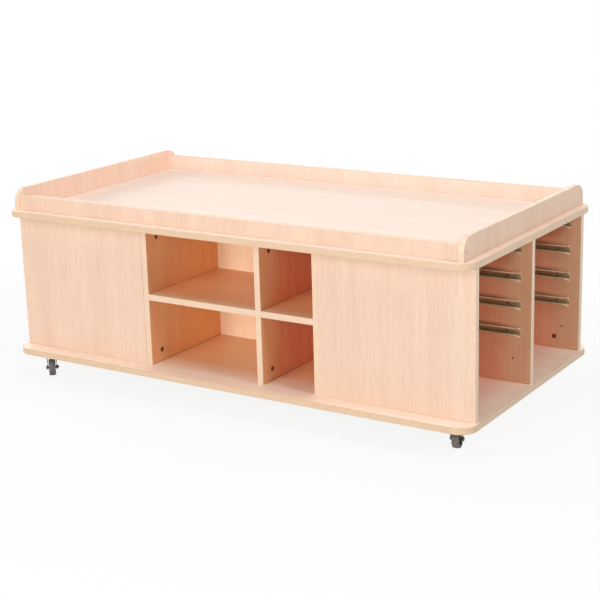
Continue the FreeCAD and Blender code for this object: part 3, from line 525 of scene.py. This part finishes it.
# Rim screws: countersunk steel screws with a cross, flush in the end rims at the corners and under the top,
# where they come up into the rims. Their zinc has gone a dull grey.
screw_head = 0.0040
screw_core = 0.0020
countersink = 0.0024
shank_length = 0.0320
point_length = 0.0034
blunt = 0.1
rim_screw = start_cylinder(24, screw_head, countersink, (0, 0, countersink / 2))
pick("VERT", lambda vert: vert.co.z > countersink - near)
bpy.ops.transform.resize(value=(screw_core / screw_head, screw_core / screw_head, 1),
                         center_override=(0, 0, 0))
pick("FACE", lambda face: face.normal.z > 0.9)
bpy.ops.mesh.extrude_region_move(TRANSFORM_OT_translate={"value": (0, 0, shank_length)})
bpy.ops.mesh.extrude_region_move(TRANSFORM_OT_translate={"value": (0, 0, point_length)})
bpy.ops.transform.resize(value=(blunt, blunt, 1), center_override=(0, 0, 0))
pick("EDGE", lambda edge: all(vert.co.z < near for vert in edge.verts))
bpy.ops.mesh.bevel(offset=0.00015, segments=1, affect="EDGES")
bpy.ops.object.mode_set(mode="OBJECT")
sink_cross(rim_screw, level=0, reach=0.0022, width=0.0009, depth=0.0014)
smooth(rim_screw, 35)

long_rim_low, long_rim_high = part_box("rim_back")
end_rim_low, end_rim_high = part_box("rim_right")
long_rim_y = (long_rim_low.y + long_rim_high.y) / 2
end_rim_x = (end_rim_low.x + end_rim_high.x) / 2
long_rim_screws = 5
long_rim_step = (long_rim_high.x - long_rim_low.x) / long_rim_screws
end_rim_share = 0.45
end_rim_y = end_rim_share * (end_rim_high.y + band_thickness)
corner_screw_level = surface + 0.024
rim_screw_spots = []
for side in (-1, 1):
    for number in range(long_rim_screws):
        step = number - (long_rim_screws - 1) / 2
        rim_screw_spots.append(looking((0, 0, 1), (step * long_rim_step, side * long_rim_y, ceiling)))
    for end in (-1, 1):
        rim_screw_spots.append(looking((0, 0, 1), (end * end_rim_x, side * end_rim_y, ceiling)))
        rim_screw_spots.append(looking((-end, 0, 0), (end * end_rim_face, side * long_rim_y,
                                                      corner_screw_level)))
rim_screws = set_out(rim_screw, "rim_screw_set", rim_screw_spots)
bpy.data.objects.remove(rim_screw)
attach(rim_screws, "table")
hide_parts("rim_screws")
# turned steel, its zinc dulled by age
rim_screws.data.materials.append(plated_metal("dulled_screw_steel", "#c2bcb2", "#9f9a91", 0.4, spot=0.002))

# Tray runners: channels folded from 1.2 mm steel sheet, 420 mm long, with the ends of both flanges spread to
# lead the trays in. They are plated in yellow zinc and screwed to the walls of the tray bays, four to a wall.
runner_low, runner_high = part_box("runners_right_back_inner")
runner_length = runner_high.x - runner_low.x
runner_depth = runner_high.y - runner_low.y
runner_height = 0.019
sheet = 0.0012
mouth_length = 0.014
spread = 0.0030
fold = 0.0022
runner = start_block((runner_length, runner_depth, runner_height), (runner_length / 2, runner_depth / 2, 0))
pick("FACE", lambda face: face.normal.y > 0.9 or abs(face.normal.x) > 0.9)
bpy.ops.mesh.delete(type="FACE")
pick("EDGE", lambda edge: all(vert.co.y < near for vert in edge.verts) and edge.calc_length() > 0.1)
bpy.ops.mesh.bevel(offset=fold, segments=5, affect="EDGES")
bpy.ops.mesh.select_all(action="SELECT")
bpy.ops.mesh.bisect(plane_co=(runner_length - mouth_length, 0, 0), plane_no=(1, 0, 0))
pick("FACE", lambda face: face.calc_center_median().x > runner_length - mouth_length
     and abs(face.normal.y) < 0.999 and abs(face.normal.z) < 0.999)
bpy.ops.mesh.delete(type="FACE")
for side in (-1, 1):
    pick("VERT", lambda vert: vert.co.x > runner_length - near
         and side * vert.co.z > runner_height / 2 - near)
    bpy.ops.transform.translate(value=(0, 0, side * spread))
pick("VERT", lambda vert: vert.co.x > runner_length - near and vert.co.y > runner_depth - near)
bpy.ops.mesh.bevel(offset=0.0035, segments=4, affect="VERTICES")
bpy.ops.object.mode_set(mode="OBJECT")
apply_modifier(runner, "SOLIDIFY", thickness=sheet, offset=-1)
apply_modifier(runner, "BEVEL", width=0.00025, segments=2, limit_method="ANGLE",
               angle_limit=math.radians(50))
smooth(runner, 40)

# yellow chromate over zinc: a dull brass that drifts in clouds of 30 mm, with olive patches of 18 mm
yellow_zinc, tree, shader, where = start_material("yellow_chromate_zinc")
drift = add(tree, "ShaderNodeTexNoise", {"Scale": 1 / 0.03, "Detail": 3.0, "Roughness": 0.6},
            {"Vector": where})
warm = add(tree, "ShaderNodeMapRange", {"From Min": 0.35, "From Max": 0.65}, {"Value": drift})
brass = add(tree, "ShaderNodeMix",
            {"data_type": "RGBA", "A_Color": paint("#c9bb9b"), "B_Color": paint("#b3a485")},
            {"Factor_Float": warm})
elsewhere = add(tree, "ShaderNodeMapping", {"Location": (0.3, 0.1, 0.2)}, {"Vector": where})
patches = add(tree, "ShaderNodeTexNoise", {"Scale": 1 / 0.018, "Detail": 2.0}, {"Vector": elsewhere})
green = add(tree, "ShaderNodeMapRange", {"From Min": 0.5, "From Max": 0.75, "To Max": 0.5},
            {"Value": patches})
olive = add(tree, "ShaderNodeMix", {"data_type": "RGBA", "B_Color": paint("#a39c80")},
            {"Factor_Float": green, "A_Color": brass})
# the flanges, facing up and down, and the sheared ends carry a painted highlight: paler and less metallic
# there
normal = add(tree, "ShaderNodeNewGeometry").outputs["Normal"]
facing = add(tree, "ShaderNodeSeparateXYZ", {}, {"Vector": normal}).outputs
flat = add(tree, "ShaderNodeMath", {"operation": "ABSOLUTE"}, {"Value": facing["Z"]})
ending = add(tree, "ShaderNodeMath", {"operation": "ABSOLUTE"}, {"Value": facing["X"]})
flange_or_end_facing = add(tree, "ShaderNodeMath", {"operation": "MAXIMUM"}, {"Value": flat, "Value_001": ending})
flange_highlight = add(tree, "ShaderNodeMapRange", {"From Min": 0.5, "From Max": 0.9}, {"Value": flange_or_end_facing})
bright = add(tree, "ShaderNodeMix", {"data_type": "RGBA", "B_Color": paint("#f4e6ca")},
             {"Factor_Float": flange_highlight, "A_Color": olive})
# painted shade lies dark in the channel, deepest in the lower fold: by the level within each runner's own
# step and by the depth from the nearer wall
place = add(tree, "ShaderNodeSeparateXYZ", {}, {"Vector": where}).outputs
lowest = runner_levels[0]
step = add(tree, "ShaderNodeMath", {"operation": "WRAP", "Value_001": lowest - runner_pitch / 2,
                                    "Value_002": lowest + runner_pitch / 2}, {"Value": place["Z"]})
low = add(tree, "ShaderNodeMapRange", {"From Min": lowest + 0.0030, "From Max": lowest - 0.0078},
          {"Value": step})
middle = add(tree, "ShaderNodeMath", {"operation": "ABSOLUTE"}, {"Value": place["Y"]})
off_spine = add(tree, "ShaderNodeMath", {"operation": "SUBTRACT", "Value_001": spine_face}, {"Value": middle})
off_panel = add(tree, "ShaderNodeMath", {"operation": "SUBTRACT", "Value": panel_face}, {"Value_001": middle})
nearer = add(tree, "ShaderNodeMath", {"operation": "MINIMUM"}, {"Value": off_spine, "Value_001": off_panel})
deep = add(tree, "ShaderNodeMapRange", {"From Min": 0.0050, "From Max": 0.0020}, {"Value": nearer})
fold_shade = add(tree, "ShaderNodeMath", {"operation": "MULTIPLY"}, {"Value": low, "Value_001": deep})
fold_shade_share = add(tree, "ShaderNodeMath", {"operation": "MULTIPLY", "Value_001": 0.6}, {"Value": fold_shade})
tint = add(tree, "ShaderNodeMix", {"data_type": "RGBA", "B_Color": paint("#3b2a17")},
           {"Factor_Float": fold_shade_share, "A_Color": bright})
# rolling lines along the sheet, drawn 0.8 mm apart
along = add(tree, "ShaderNodeMapping", {"Scale": (0.02, 1, 1)}, {"Vector": where})
rolled = add(tree, "ShaderNodeTexNoise", {"Scale": 1 / 0.0008, "Detail": 2.0}, {"Vector": along})
haze = add(tree, "ShaderNodeMapRange", {"To Min": 0.30, "To Max": 0.48}, {"Value": rolled})
# less metallic under the painted highlight
highlight_metallic = add(tree, "ShaderNodeMapRange", {"To Min": 0.95, "To Max": 0.25}, {"Value": flange_highlight})
bump = add(tree, "ShaderNodeBump", {"Strength": 0.12, "Distance": 0.00005}, {"Height": rolled})
feed(shader, {"Base Color": tint, "Metallic": highlight_metallic, "Roughness": haze, "Normal": bump})

wall_rows = (("front", "outer", -panel_face, 1), ("front", "inner", -spine_face, -1),
             ("back", "inner", spine_face, 1), ("back", "outer", panel_face, -1))
mouth_screw_setback = 0.039
rear_screw_setback = 0.081
runner_screw_x = (runner_high.x - mouth_screw_setback, runner_low.x + rear_screw_setback)
runner_screw_spots = []
for end_name, end in (("right", 1), ("left", -1)):
    for side, wall, y, into_bay in wall_rows:
        half_turn = Matrix.Diagonal((end, into_bay, end * into_bay, 1))
        spots = []
        for z in runner_levels:
            spots.append(Matrix.Translation((end * runner_low.x, y, z)) @ half_turn)
            for x in runner_screw_x:
                runner_screw_spots.append(looking((0, -into_bay, 0), (end * x, y, z)))
        node_name = f"runners_{end_name}_{side}_{wall}"
        rails = set_out(runner, f"folded_{node_name}", spots)
        rails.data.materials.append(yellow_zinc)
        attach(rails, "table")
        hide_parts(node_name)
bpy.data.objects.remove(runner)

# Runner screws: small pan head steel screws, two in each runner, driven through its web into the wall of the
# bay. Their heads have a cross and stand inside the channel.
pan_radius = 0.0030
pan_height = 0.0015
pan_level = -sheet - pan_height
pan_core = 0.0015
pan_shank = 0.0075
pan_point = 0.0017
pan_screw = start_cylinder(20, pan_radius, pan_height, (0, 0, -sheet - pan_height / 2))
pick("EDGE", lambda edge: all(vert.co.z < pan_level + near for vert in edge.verts))
bpy.ops.mesh.bevel(offset=0.0009, segments=3, affect="EDGES")
pick("FACE", lambda face: face.normal.z > 0.9)
bpy.ops.mesh.inset(thickness=pan_radius - pan_core)
bpy.ops.mesh.extrude_region_move(TRANSFORM_OT_translate={"value": (0, 0, pan_shank)})
bpy.ops.mesh.extrude_region_move(TRANSFORM_OT_translate={"value": (0, 0, pan_point)})
bpy.ops.transform.resize(value=(blunt, blunt, 1), center_override=(0, 0, 0))
bpy.ops.object.mode_set(mode="OBJECT")
sink_cross(pan_screw, level=pan_level, reach=0.0017, width=0.0007, depth=0.0009)
smooth(pan_screw, 35)
screws = set_out(pan_screw, "runner_screw_set", runner_screw_spots)
bpy.data.objects.remove(pan_screw)
# turned steel, browned like the cams, so that the heads stay dark in the channels
screws.data.materials.append(plated_metal("browned_screw_steel", "#7a7064", "#57503f", 0.42, spot=0.002))
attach(screws, "table")
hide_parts("runner_screws")

# Caster plates, kingpins, balls and their screws: pressed and turned steel with dark zinc, tucked up under
# the bottom board, where the plate's dish and the fork's cup hold a ring of balls around the riveted pin. The
# zinc is painted darker still, as painted shade under the board.
shade_darkened_zinc = plated_metal("dark_zinc_caster_steel", "#646361", "#454442", 0.30, spot=0.006)
dress(shade_darkened_zinc, "caster_plates", "caster_kingpins", "caster_balls", "caster_screws")

# Caster forks: one steel blank each, pressed to a round crown with two legs that draw in to hold the axle
# behind the pin. The crown carries the lower ball cup.
trail = 0.024
axle_level = 0.025
crown_low = 0.060
crown_radius = 0.021
fork_sheet = 0.002
cup_edge = 0.0040
cup_wall = 0.0015
cup_height = 0.0025
pin_hole = 0.0043
crown = start_cylinder(48, crown_radius, fork_sheet, (0, 0, crown_low + fork_sheet / 2))
pick("FACE", lambda face: face.normal.z > 0.9)
bpy.ops.mesh.inset(thickness=cup_edge)
bpy.ops.mesh.inset(thickness=cup_wall)
cup_middle = crown_radius - cup_edge - cup_wall / 2
pick("FACE", lambda face: face.normal.z > 0.9 and len(face.verts) == 4
     and abs(face.calc_center_median().xy.length - cup_middle) < cup_wall / 2)
bpy.ops.mesh.extrude_region_move(TRANSFORM_OT_translate={"value": (0, 0, cup_height)})
pick("FACE", lambda face: face.normal.z < -0.9)
bpy.ops.mesh.inset(thickness=cup_edge + cup_wall)
pick("FACE", lambda face: len(face.verts) > 4)
bpy.ops.mesh.inset(thickness=crown_radius - cup_edge - cup_wall - pin_hole)
pick("FACE", lambda face: len(face.verts) > 4)
bpy.ops.mesh.bridge_edge_loops()
bpy.ops.object.mode_set(mode="OBJECT")

leg_face = 0.0135
leg_width = 0.022
eye_width = 0.016
leg_bend = 0.038
leg_splay = 0.0035
eye = (trail, leg_face, axle_level)
bpy.ops.object.select_all(action="DESELECT")
bpy.ops.mesh.primitive_plane_add(size=1, location=(0, leg_face, (crown_low + axle_level) / 2),
                                 rotation=(-math.pi / 2, 0, 0))
leg = bpy.context.object
leg.scale = (leg_width, crown_low - axle_level, 1)
bpy.ops.object.transform_apply(location=True, rotation=True, scale=True)
bpy.ops.object.mode_set(mode="EDIT")
pick("VERT", lambda vert: vert.co.z < axle_level + near)
bpy.ops.transform.translate(value=(trail, 0, 0))
bpy.ops.transform.resize(value=(eye_width / leg_width, 1, 1), center_override=eye)
pick("EDGE", lambda edge: all(vert.co.z < axle_level + near for vert in edge.verts))
bpy.ops.mesh.subdivide(number_cuts=1)
pick("EDGE", lambda edge: all(vert.co.z < axle_level + near and vert.co.x > trail - near
                              for vert in edge.verts))
bpy.ops.mesh.spin(steps=12, angle=-math.pi, center=eye, axis=(0, 1, 0))
bpy.ops.mesh.select_all(action="SELECT")
bpy.ops.mesh.remove_doubles(threshold=near)
bpy.ops.mesh.bisect(plane_co=(0, 0, leg_bend), plane_no=(0, 0, 1))
pick("VERT", lambda vert: vert.co.z > crown_low - near)
bpy.ops.transform.translate(value=(0, leg_splay, 0))
bpy.ops.mesh.select_all(action="SELECT")
bpy.ops.mesh.normals_make_consistent(inside=False)
bpy.ops.object.mode_set(mode="OBJECT")
apply_modifier(leg, "SOLIDIFY", thickness=fork_sheet, offset=-1)
apply_modifier(leg, "MIRROR", use_axis=(False, True, False), use_mirror_merge=False)


def join(first, *others):
    """Joins pieces to the first one."""
    bpy.ops.object.select_all(action="DESELECT")
    for piece in (first, *others):
        piece.select_set(True)
    bpy.context.view_layer.objects.active = first
    bpy.ops.object.join()


join(crown, leg)
apply_modifier(crown, "BEVEL", width=0.0004, segments=2, limit_method="ANGLE", angle_limit=math.radians(40))
smooth(crown, 35)

hinges = {joint["name"]: joint for joint in frame["joints"]}
stances = {}
for corner in ("front_left", "front_right", "back_left", "back_right"):
    pin_x, pin_y, _ = hinges[f"{corner}_swivel_turn"]["pos_m"]
    axle_x, axle_y, _ = hinges[f"{corner}_wheel_roll"]["axis"]
    heading = Matrix.Rotation(math.atan2(-axle_x, axle_y), 4, "Z")
    stances[corner] = Matrix.Translation((pin_x, pin_y, 0)) @ heading
for corner, stance in stances.items():
    fork = set_out(crown, f"{corner}_pressed_fork", [stance])
    fork.data.materials.append(shade_darkened_zinc)
    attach(fork, f"{corner}_swivel")
    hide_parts(f"{corner}_fork")
bpy.data.objects.remove(crown)

# Axles: a hexagon bolt across each fork with a nut on its far end, steel with dark zinc painted darker still
# as shade. The head and the nut stand out beside the wheel as the two lugs that are seen at axle height.
across_wheel = (math.pi / 2, 0, 0)
across_flats = 0.0100
hexagon = across_flats / math.sqrt(3)
bolt_radius = 0.0030
head_height = 0.0045
nut_height = 0.0050
past_nut = 0.0015
shank_end = leg_face + nut_height + past_nut
head_arris = {"offset": 0.0006, "segments": 2, "affect": "EDGES"}
bolt = start_cylinder(6, hexagon, head_height, (trail, -leg_face - head_height / 2, axle_level), across_wheel)
pick("EDGE", lambda edge: all(vert.co.y < -leg_face - head_height + near for vert in edge.verts))
bpy.ops.mesh.bevel(**head_arris)
bpy.ops.object.mode_set(mode="OBJECT")
shank = start_cylinder(24, bolt_radius, leg_face + shank_end, (trail, (shank_end - leg_face) / 2, axle_level),
                       across_wheel)
pick("EDGE", lambda edge: all(vert.co.y > shank_end - near for vert in edge.verts))
bpy.ops.mesh.bevel(**head_arris)
bpy.ops.object.mode_set(mode="OBJECT")
nut = start_cylinder(6, hexagon, nut_height, (trail, leg_face + nut_height / 2, axle_level), across_wheel)
pick("EDGE", lambda edge: abs(edge.verts[0].co.y - edge.verts[1].co.y) < near)
bpy.ops.mesh.bevel(**head_arris)
bpy.ops.object.mode_set(mode="OBJECT")
join(bolt, shank, nut)
smooth(bolt, 35)
for corner, stance in stances.items():
    axle = set_out(bolt, f"{corner}_hexagon_axle", [stance])
    axle.data.materials.append(shade_darkened_zinc)
    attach(axle, f"{corner}_swivel")
    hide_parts(f"{corner}_axle")
bpy.data.objects.remove(bolt)

# Wheel hubs: injection moulded plastic, dished on both sides around a plain boss, with thin ribs from the
# boss to the rim. They turn on the axle with a little play.
half_wheel = 0.010
hub_radius = 0.02095
hub_rim = 0.0029
boss_gap = 0.0110
boss_wall = 0.0040
dish = 0.0040
hub = start_cylinder(64, hub_radius, 2 * half_wheel, (trail, 0, axle_level), across_wheel)
pick("FACE", lambda face: abs(face.normal.y) > 0.9)
bpy.ops.mesh.inset(thickness=hub_rim)
for side in (-1, 1):
    pick("FACE", lambda face: side * face.normal.y > 0.9 and len(face.verts) > 4)
    bpy.ops.mesh.extrude_region_move(TRANSFORM_OT_translate={"value": (0, -side * dish, 0)})
    bpy.ops.mesh.inset(thickness=boss_gap)
    bpy.ops.mesh.extrude_region_move(TRANSFORM_OT_translate={"value": (0, side * dish, 0)})
    bpy.ops.mesh.inset(thickness=boss_wall)
pick("FACE", lambda face: len(face.verts) > 4)
bpy.ops.mesh.bridge_edge_loops()
bpy.ops.object.mode_set(mode="OBJECT")
rib_count = 6
rib_size = (0.0116, 2 * half_wheel - 0.0020, 0.0014)
rib_from_axle = 0.0125
for number in range(rib_count):
    rib = start_block(rib_size, (rib_from_axle, 0, 0))
    bpy.ops.object.mode_set(mode="OBJECT")
    spoke = Matrix.Rotation(number * 2 * math.pi / rib_count, 4, "Y")
    rib.data.transform(Matrix.Translation((trail, 0, axle_level)) @ spoke)
    join(hub, rib)
apply_modifier(hub, "BEVEL", width=0.0004, segments=2, limit_method="ANGLE", angle_limit=math.radians(50))
smooth(hub, 35)

# moulded polypropylene: near black, with the faint grain of the mould, drawn as 0.8 mm, and a low sheen
moulded, tree, shader, where = start_material("moulded_polypropylene")
grain = add(tree, "ShaderNodeTexNoise", {"Scale": 1 / 0.0008, "Detail": 2.0}, {"Vector": where})
tint = add(tree, "ShaderNodeMix",
           {"data_type": "RGBA", "A_Color": paint("#2b2b2c"), "B_Color": paint("#3a3a3a")},
           {"Factor_Float": grain})
haze = add(tree, "ShaderNodeMapRange", {"To Min": 0.42, "To Max": 0.58}, {"Value": grain})
bump = add(tree, "ShaderNodeBump", {"Strength": 0.15, "Distance": 0.0001}, {"Height": grain})
feed(shader, {"Base Color": tint, "Roughness": haze, "Normal": bump})
shader.inputs["IOR"].default_value = 1.49
for corner, stance in stances.items():
    wheel = set_out(hub, f"{corner}_ribbed_hub", [stance])
    wheel.data.materials.append(moulded)
    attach(wheel, f"{corner}_roller")
    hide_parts(f"{corner}_wheel")
bpy.data.objects.remove(hub)

# Tyres: rings of soft grey rubber, moulded around the hubs and held by the grip of the rubber. They have
# rounded shoulders and a tread that is a little crowned.
tread_radius = 0.025
shoulder = 0.0030
tyre_lip = 0.0010
half_crown = 0.0015
crowning = 0.985
tyre = start_cylinder(72, tread_radius, 2 * half_wheel, (trail, 0, axle_level), across_wheel)
pick("EDGE", lambda edge: abs(edge.verts[0].co.y - edge.verts[1].co.y) < near)
bpy.ops.mesh.bevel(offset=shoulder, segments=5, affect="EDGES")
pick("FACE", lambda face: abs(face.normal.y) > 0.99)
bpy.ops.mesh.inset(thickness=tyre_lip)
bpy.ops.mesh.bridge_edge_loops()
for place in (-half_crown, half_crown):
    bpy.ops.mesh.select_all(action="SELECT")
    bpy.ops.mesh.bisect(plane_co=(0, place, 0), plane_no=(0, 1, 0))


def on_shoulder(vert):
    """Whether a point is on the outer part of the tyre, beside the tread."""
    from_axle = Vector((vert.co.x - trail, vert.co.z - axle_level)).length
    return from_axle > tread_radius - shoulder and abs(vert.co.y) > 2 * shoulder


pick("VERT", on_shoulder)
bpy.ops.transform.resize(value=(crowning, 1, crowning), center_override=(trail, 0, axle_level))
bpy.ops.object.mode_set(mode="OBJECT")
smooth(tyre, 40)

# thermoplastic rubber: matt mid grey, paler where the tread is rubbed and dusty in patches of 6 mm, with a
# skin drawn as 0.6 mm grain
grey_rubber, tree, shader, where = start_material("grey_thermoplastic_rubber")
dust = add(tree, "ShaderNodeTexNoise", {"Scale": 1 / 0.006, "Detail": 4.0, "Roughness": 0.65},
           {"Vector": where})
dusty = add(tree, "ShaderNodeMapRange", {"From Min": 0.35, "From Max": 0.7}, {"Value": dust})
tint = add(tree, "ShaderNodeMix",
           {"data_type": "RGBA", "A_Color": paint("#53504d"), "B_Color": paint("#6c6966")},
           {"Factor_Float": dusty})
haze = add(tree, "ShaderNodeMapRange", {"To Min": 0.62, "To Max": 0.82}, {"Value": dust})
skin = add(tree, "ShaderNodeTexNoise", {"Scale": 1 / 0.0006, "Detail": 2.0}, {"Vector": where})
bump = add(tree, "ShaderNodeBump", {"Strength": 0.25, "Distance": 0.0001}, {"Height": skin})
feed(shader, {"Base Color": tint, "Roughness": haze, "Normal": bump})
shader.inputs["IOR"].default_value = 1.52
for corner, stance in stances.items():
    tread = set_out(tyre, f"{corner}_rubber_tyre", [stance])
    tread.data.materials.append(grey_rubber)
    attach(tread, f"{corner}_roller")
    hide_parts(f"{corner}_tyre")
bpy.data.objects.remove(tyre)


# Stage: a pale painted floor that runs far out under an even white studio. It looks white and keeps the
# object's shadow, which lies around the object and fades out into plain white from 0.9 m to 2.2 m.
def shown_white(tree):
    """1 where a ray shows the studio itself, to the eye, in a gloss or through glass, and otherwise 0."""
    path = add(tree, "ShaderNodeLightPath")
    shown = path.outputs["Is Camera Ray"]
    for ray in ("Is Glossy Ray", "Is Transmission Ray"):
        shown = add(tree, "ShaderNodeMath", {"operation": "MAXIMUM"},
                    {"Value": shown, "Value_001": path.outputs[ray]})
    return shown


bpy.ops.object.select_all(action="DESELECT")
bpy.ops.mesh.primitive_plane_add(size=40, location=(0, 0, 0))
floor = bpy.context.object
floor.name = "studio_floor"
pale_floor, tree, shader, where = start_material("studio_floor_paint")
shader.inputs["Base Color"].default_value = paint("#dddbd9")
shader.inputs["Roughness"].default_value = 0.9
shader.inputs["Specular IOR Level"].default_value = 0.1
around = add(tree, "ShaderNodeMapping", {"Scale": (1.0, 1.4, 1.0)}, {"Vector": where})
distance = add(tree, "ShaderNodeVectorMath", {"operation": "LENGTH"}, {"Vector": around})
fade = add(tree, "ShaderNodeMapRange", {"From Min": 0.9, "From Max": 2.2, "To Min": 0.88, "To Max": 1.0},
           {"Value": distance.outputs["Value"]})
share = add(tree, "ShaderNodeMath", {"operation": "MULTIPLY"},
            {"Value": shown_white(tree), "Value_001": fade})
white = add(tree, "ShaderNodeEmission", {"Color": (1, 1, 1, 1), "Strength": 1.0})
mixed = add(tree, "ShaderNodeMixShader", {}, {"Fac": share, "Shader": shader, "Shader_001": white})
feed(tree.nodes["Material Output"], {"Surface": mixed})
floor.data.materials.append(pale_floor)

# Light: white surroundings, which light the object only a little, and broad soft lights all round it. The
# strongest stand far out in front at table height, and high up on the right.
world = bpy.data.worlds.new("white_studio")
bpy.context.scene.world = world
world.use_nodes = True
tree = world.node_tree
strength = add(tree, "ShaderNodeMapRange", {"To Min": 0.06, "To Max": 1.0}, {"Value": shown_white(tree)})
tree.nodes["Background"].inputs["Color"].default_value = (1, 1, 1, 1)
feed(tree.nodes["Background"], {"Strength": strength})
white_light = (1.0, 1.0, 1.0)
cool_light = (0.93, 0.98, 1.0)
softboxes = (
    ("front_softbox", (-0.5, -8.0, 0.9), (0, 0, 0.35), (3.0, 1.2), 300, white_light),
    ("high_front_softbox", (-0.4, -4.0, 2.6), (0, 0, 0.35), (2.6, 1.6), 60, white_light),
    ("near_softbox", (2.4, -4.2, 1.6), (0, 0, 0.35), (2.2, 1.6), 30, white_light),
    ("top_softbox", (-0.3, -0.3, 3.3), (0, 0, 0.5), (2.6, 2.0), 38, white_light),
    ("right_softbox", (5.6, -0.3, 4.0), (0.7, 0.0, 0.3), (3.0, 2.0), 255, cool_light),
    ("back_softbox", (-1.9, 4.2, 1.9), (0, 0, 0.5), (6.0, 2.6), 60, white_light),
    ("low_back_softbox", (0.3, 7.0, 0.28), (0, 0, 0.28), (4.0, 0.4), 130, white_light),
    ("left_softbox", (-4.2, 0.3, 1.8), (-0.7, 0.0, 0.3), (2.2, 1.4), 70, white_light),
)
for name, place, aim, size, watts, colour in softboxes:
    lamp = bpy.data.lights.new(name, "AREA")
    lamp.shape = "RECTANGLE"
    lamp.size, lamp.size_y = size
    lamp.energy = watts
    lamp.color = colour
    holder = bpy.data.objects.new(name, lamp)
    holder.location = place
    holder.rotation_euler = (Vector(aim) - Vector(place)).to_track_quat("-Z", "Y").to_euler()
    bpy.context.collection.objects.link(holder)

# Camera: in front and to the right, looking down a little, as the photograph was taken. Its place, turn and
# lens were fitted to the table's outline there.
camera = bpy.data.objects.new("camera", bpy.data.cameras.new("camera"))
camera.data.lens = 86.64
camera.data.shift_x = 0.0099
camera.data.shift_y = -0.0079
stand = Matrix.Translation((2.20758, -3.42152, 1.36192))
turn = Matrix.Rotation(math.radians(32.94), 4, "Z")
tip = Matrix.Rotation(math.radians(90 - 15.33), 4, "X")
roll = Matrix.Rotation(math.radians(-1.66), 4, "Z")
camera.matrix_world = stand @ turn @ tip @ roll
bpy.context.collection.objects.link(camera)
bpy.context.scene.camera = camera
bpy.context.scene.view_settings.view_transform = "Standard"
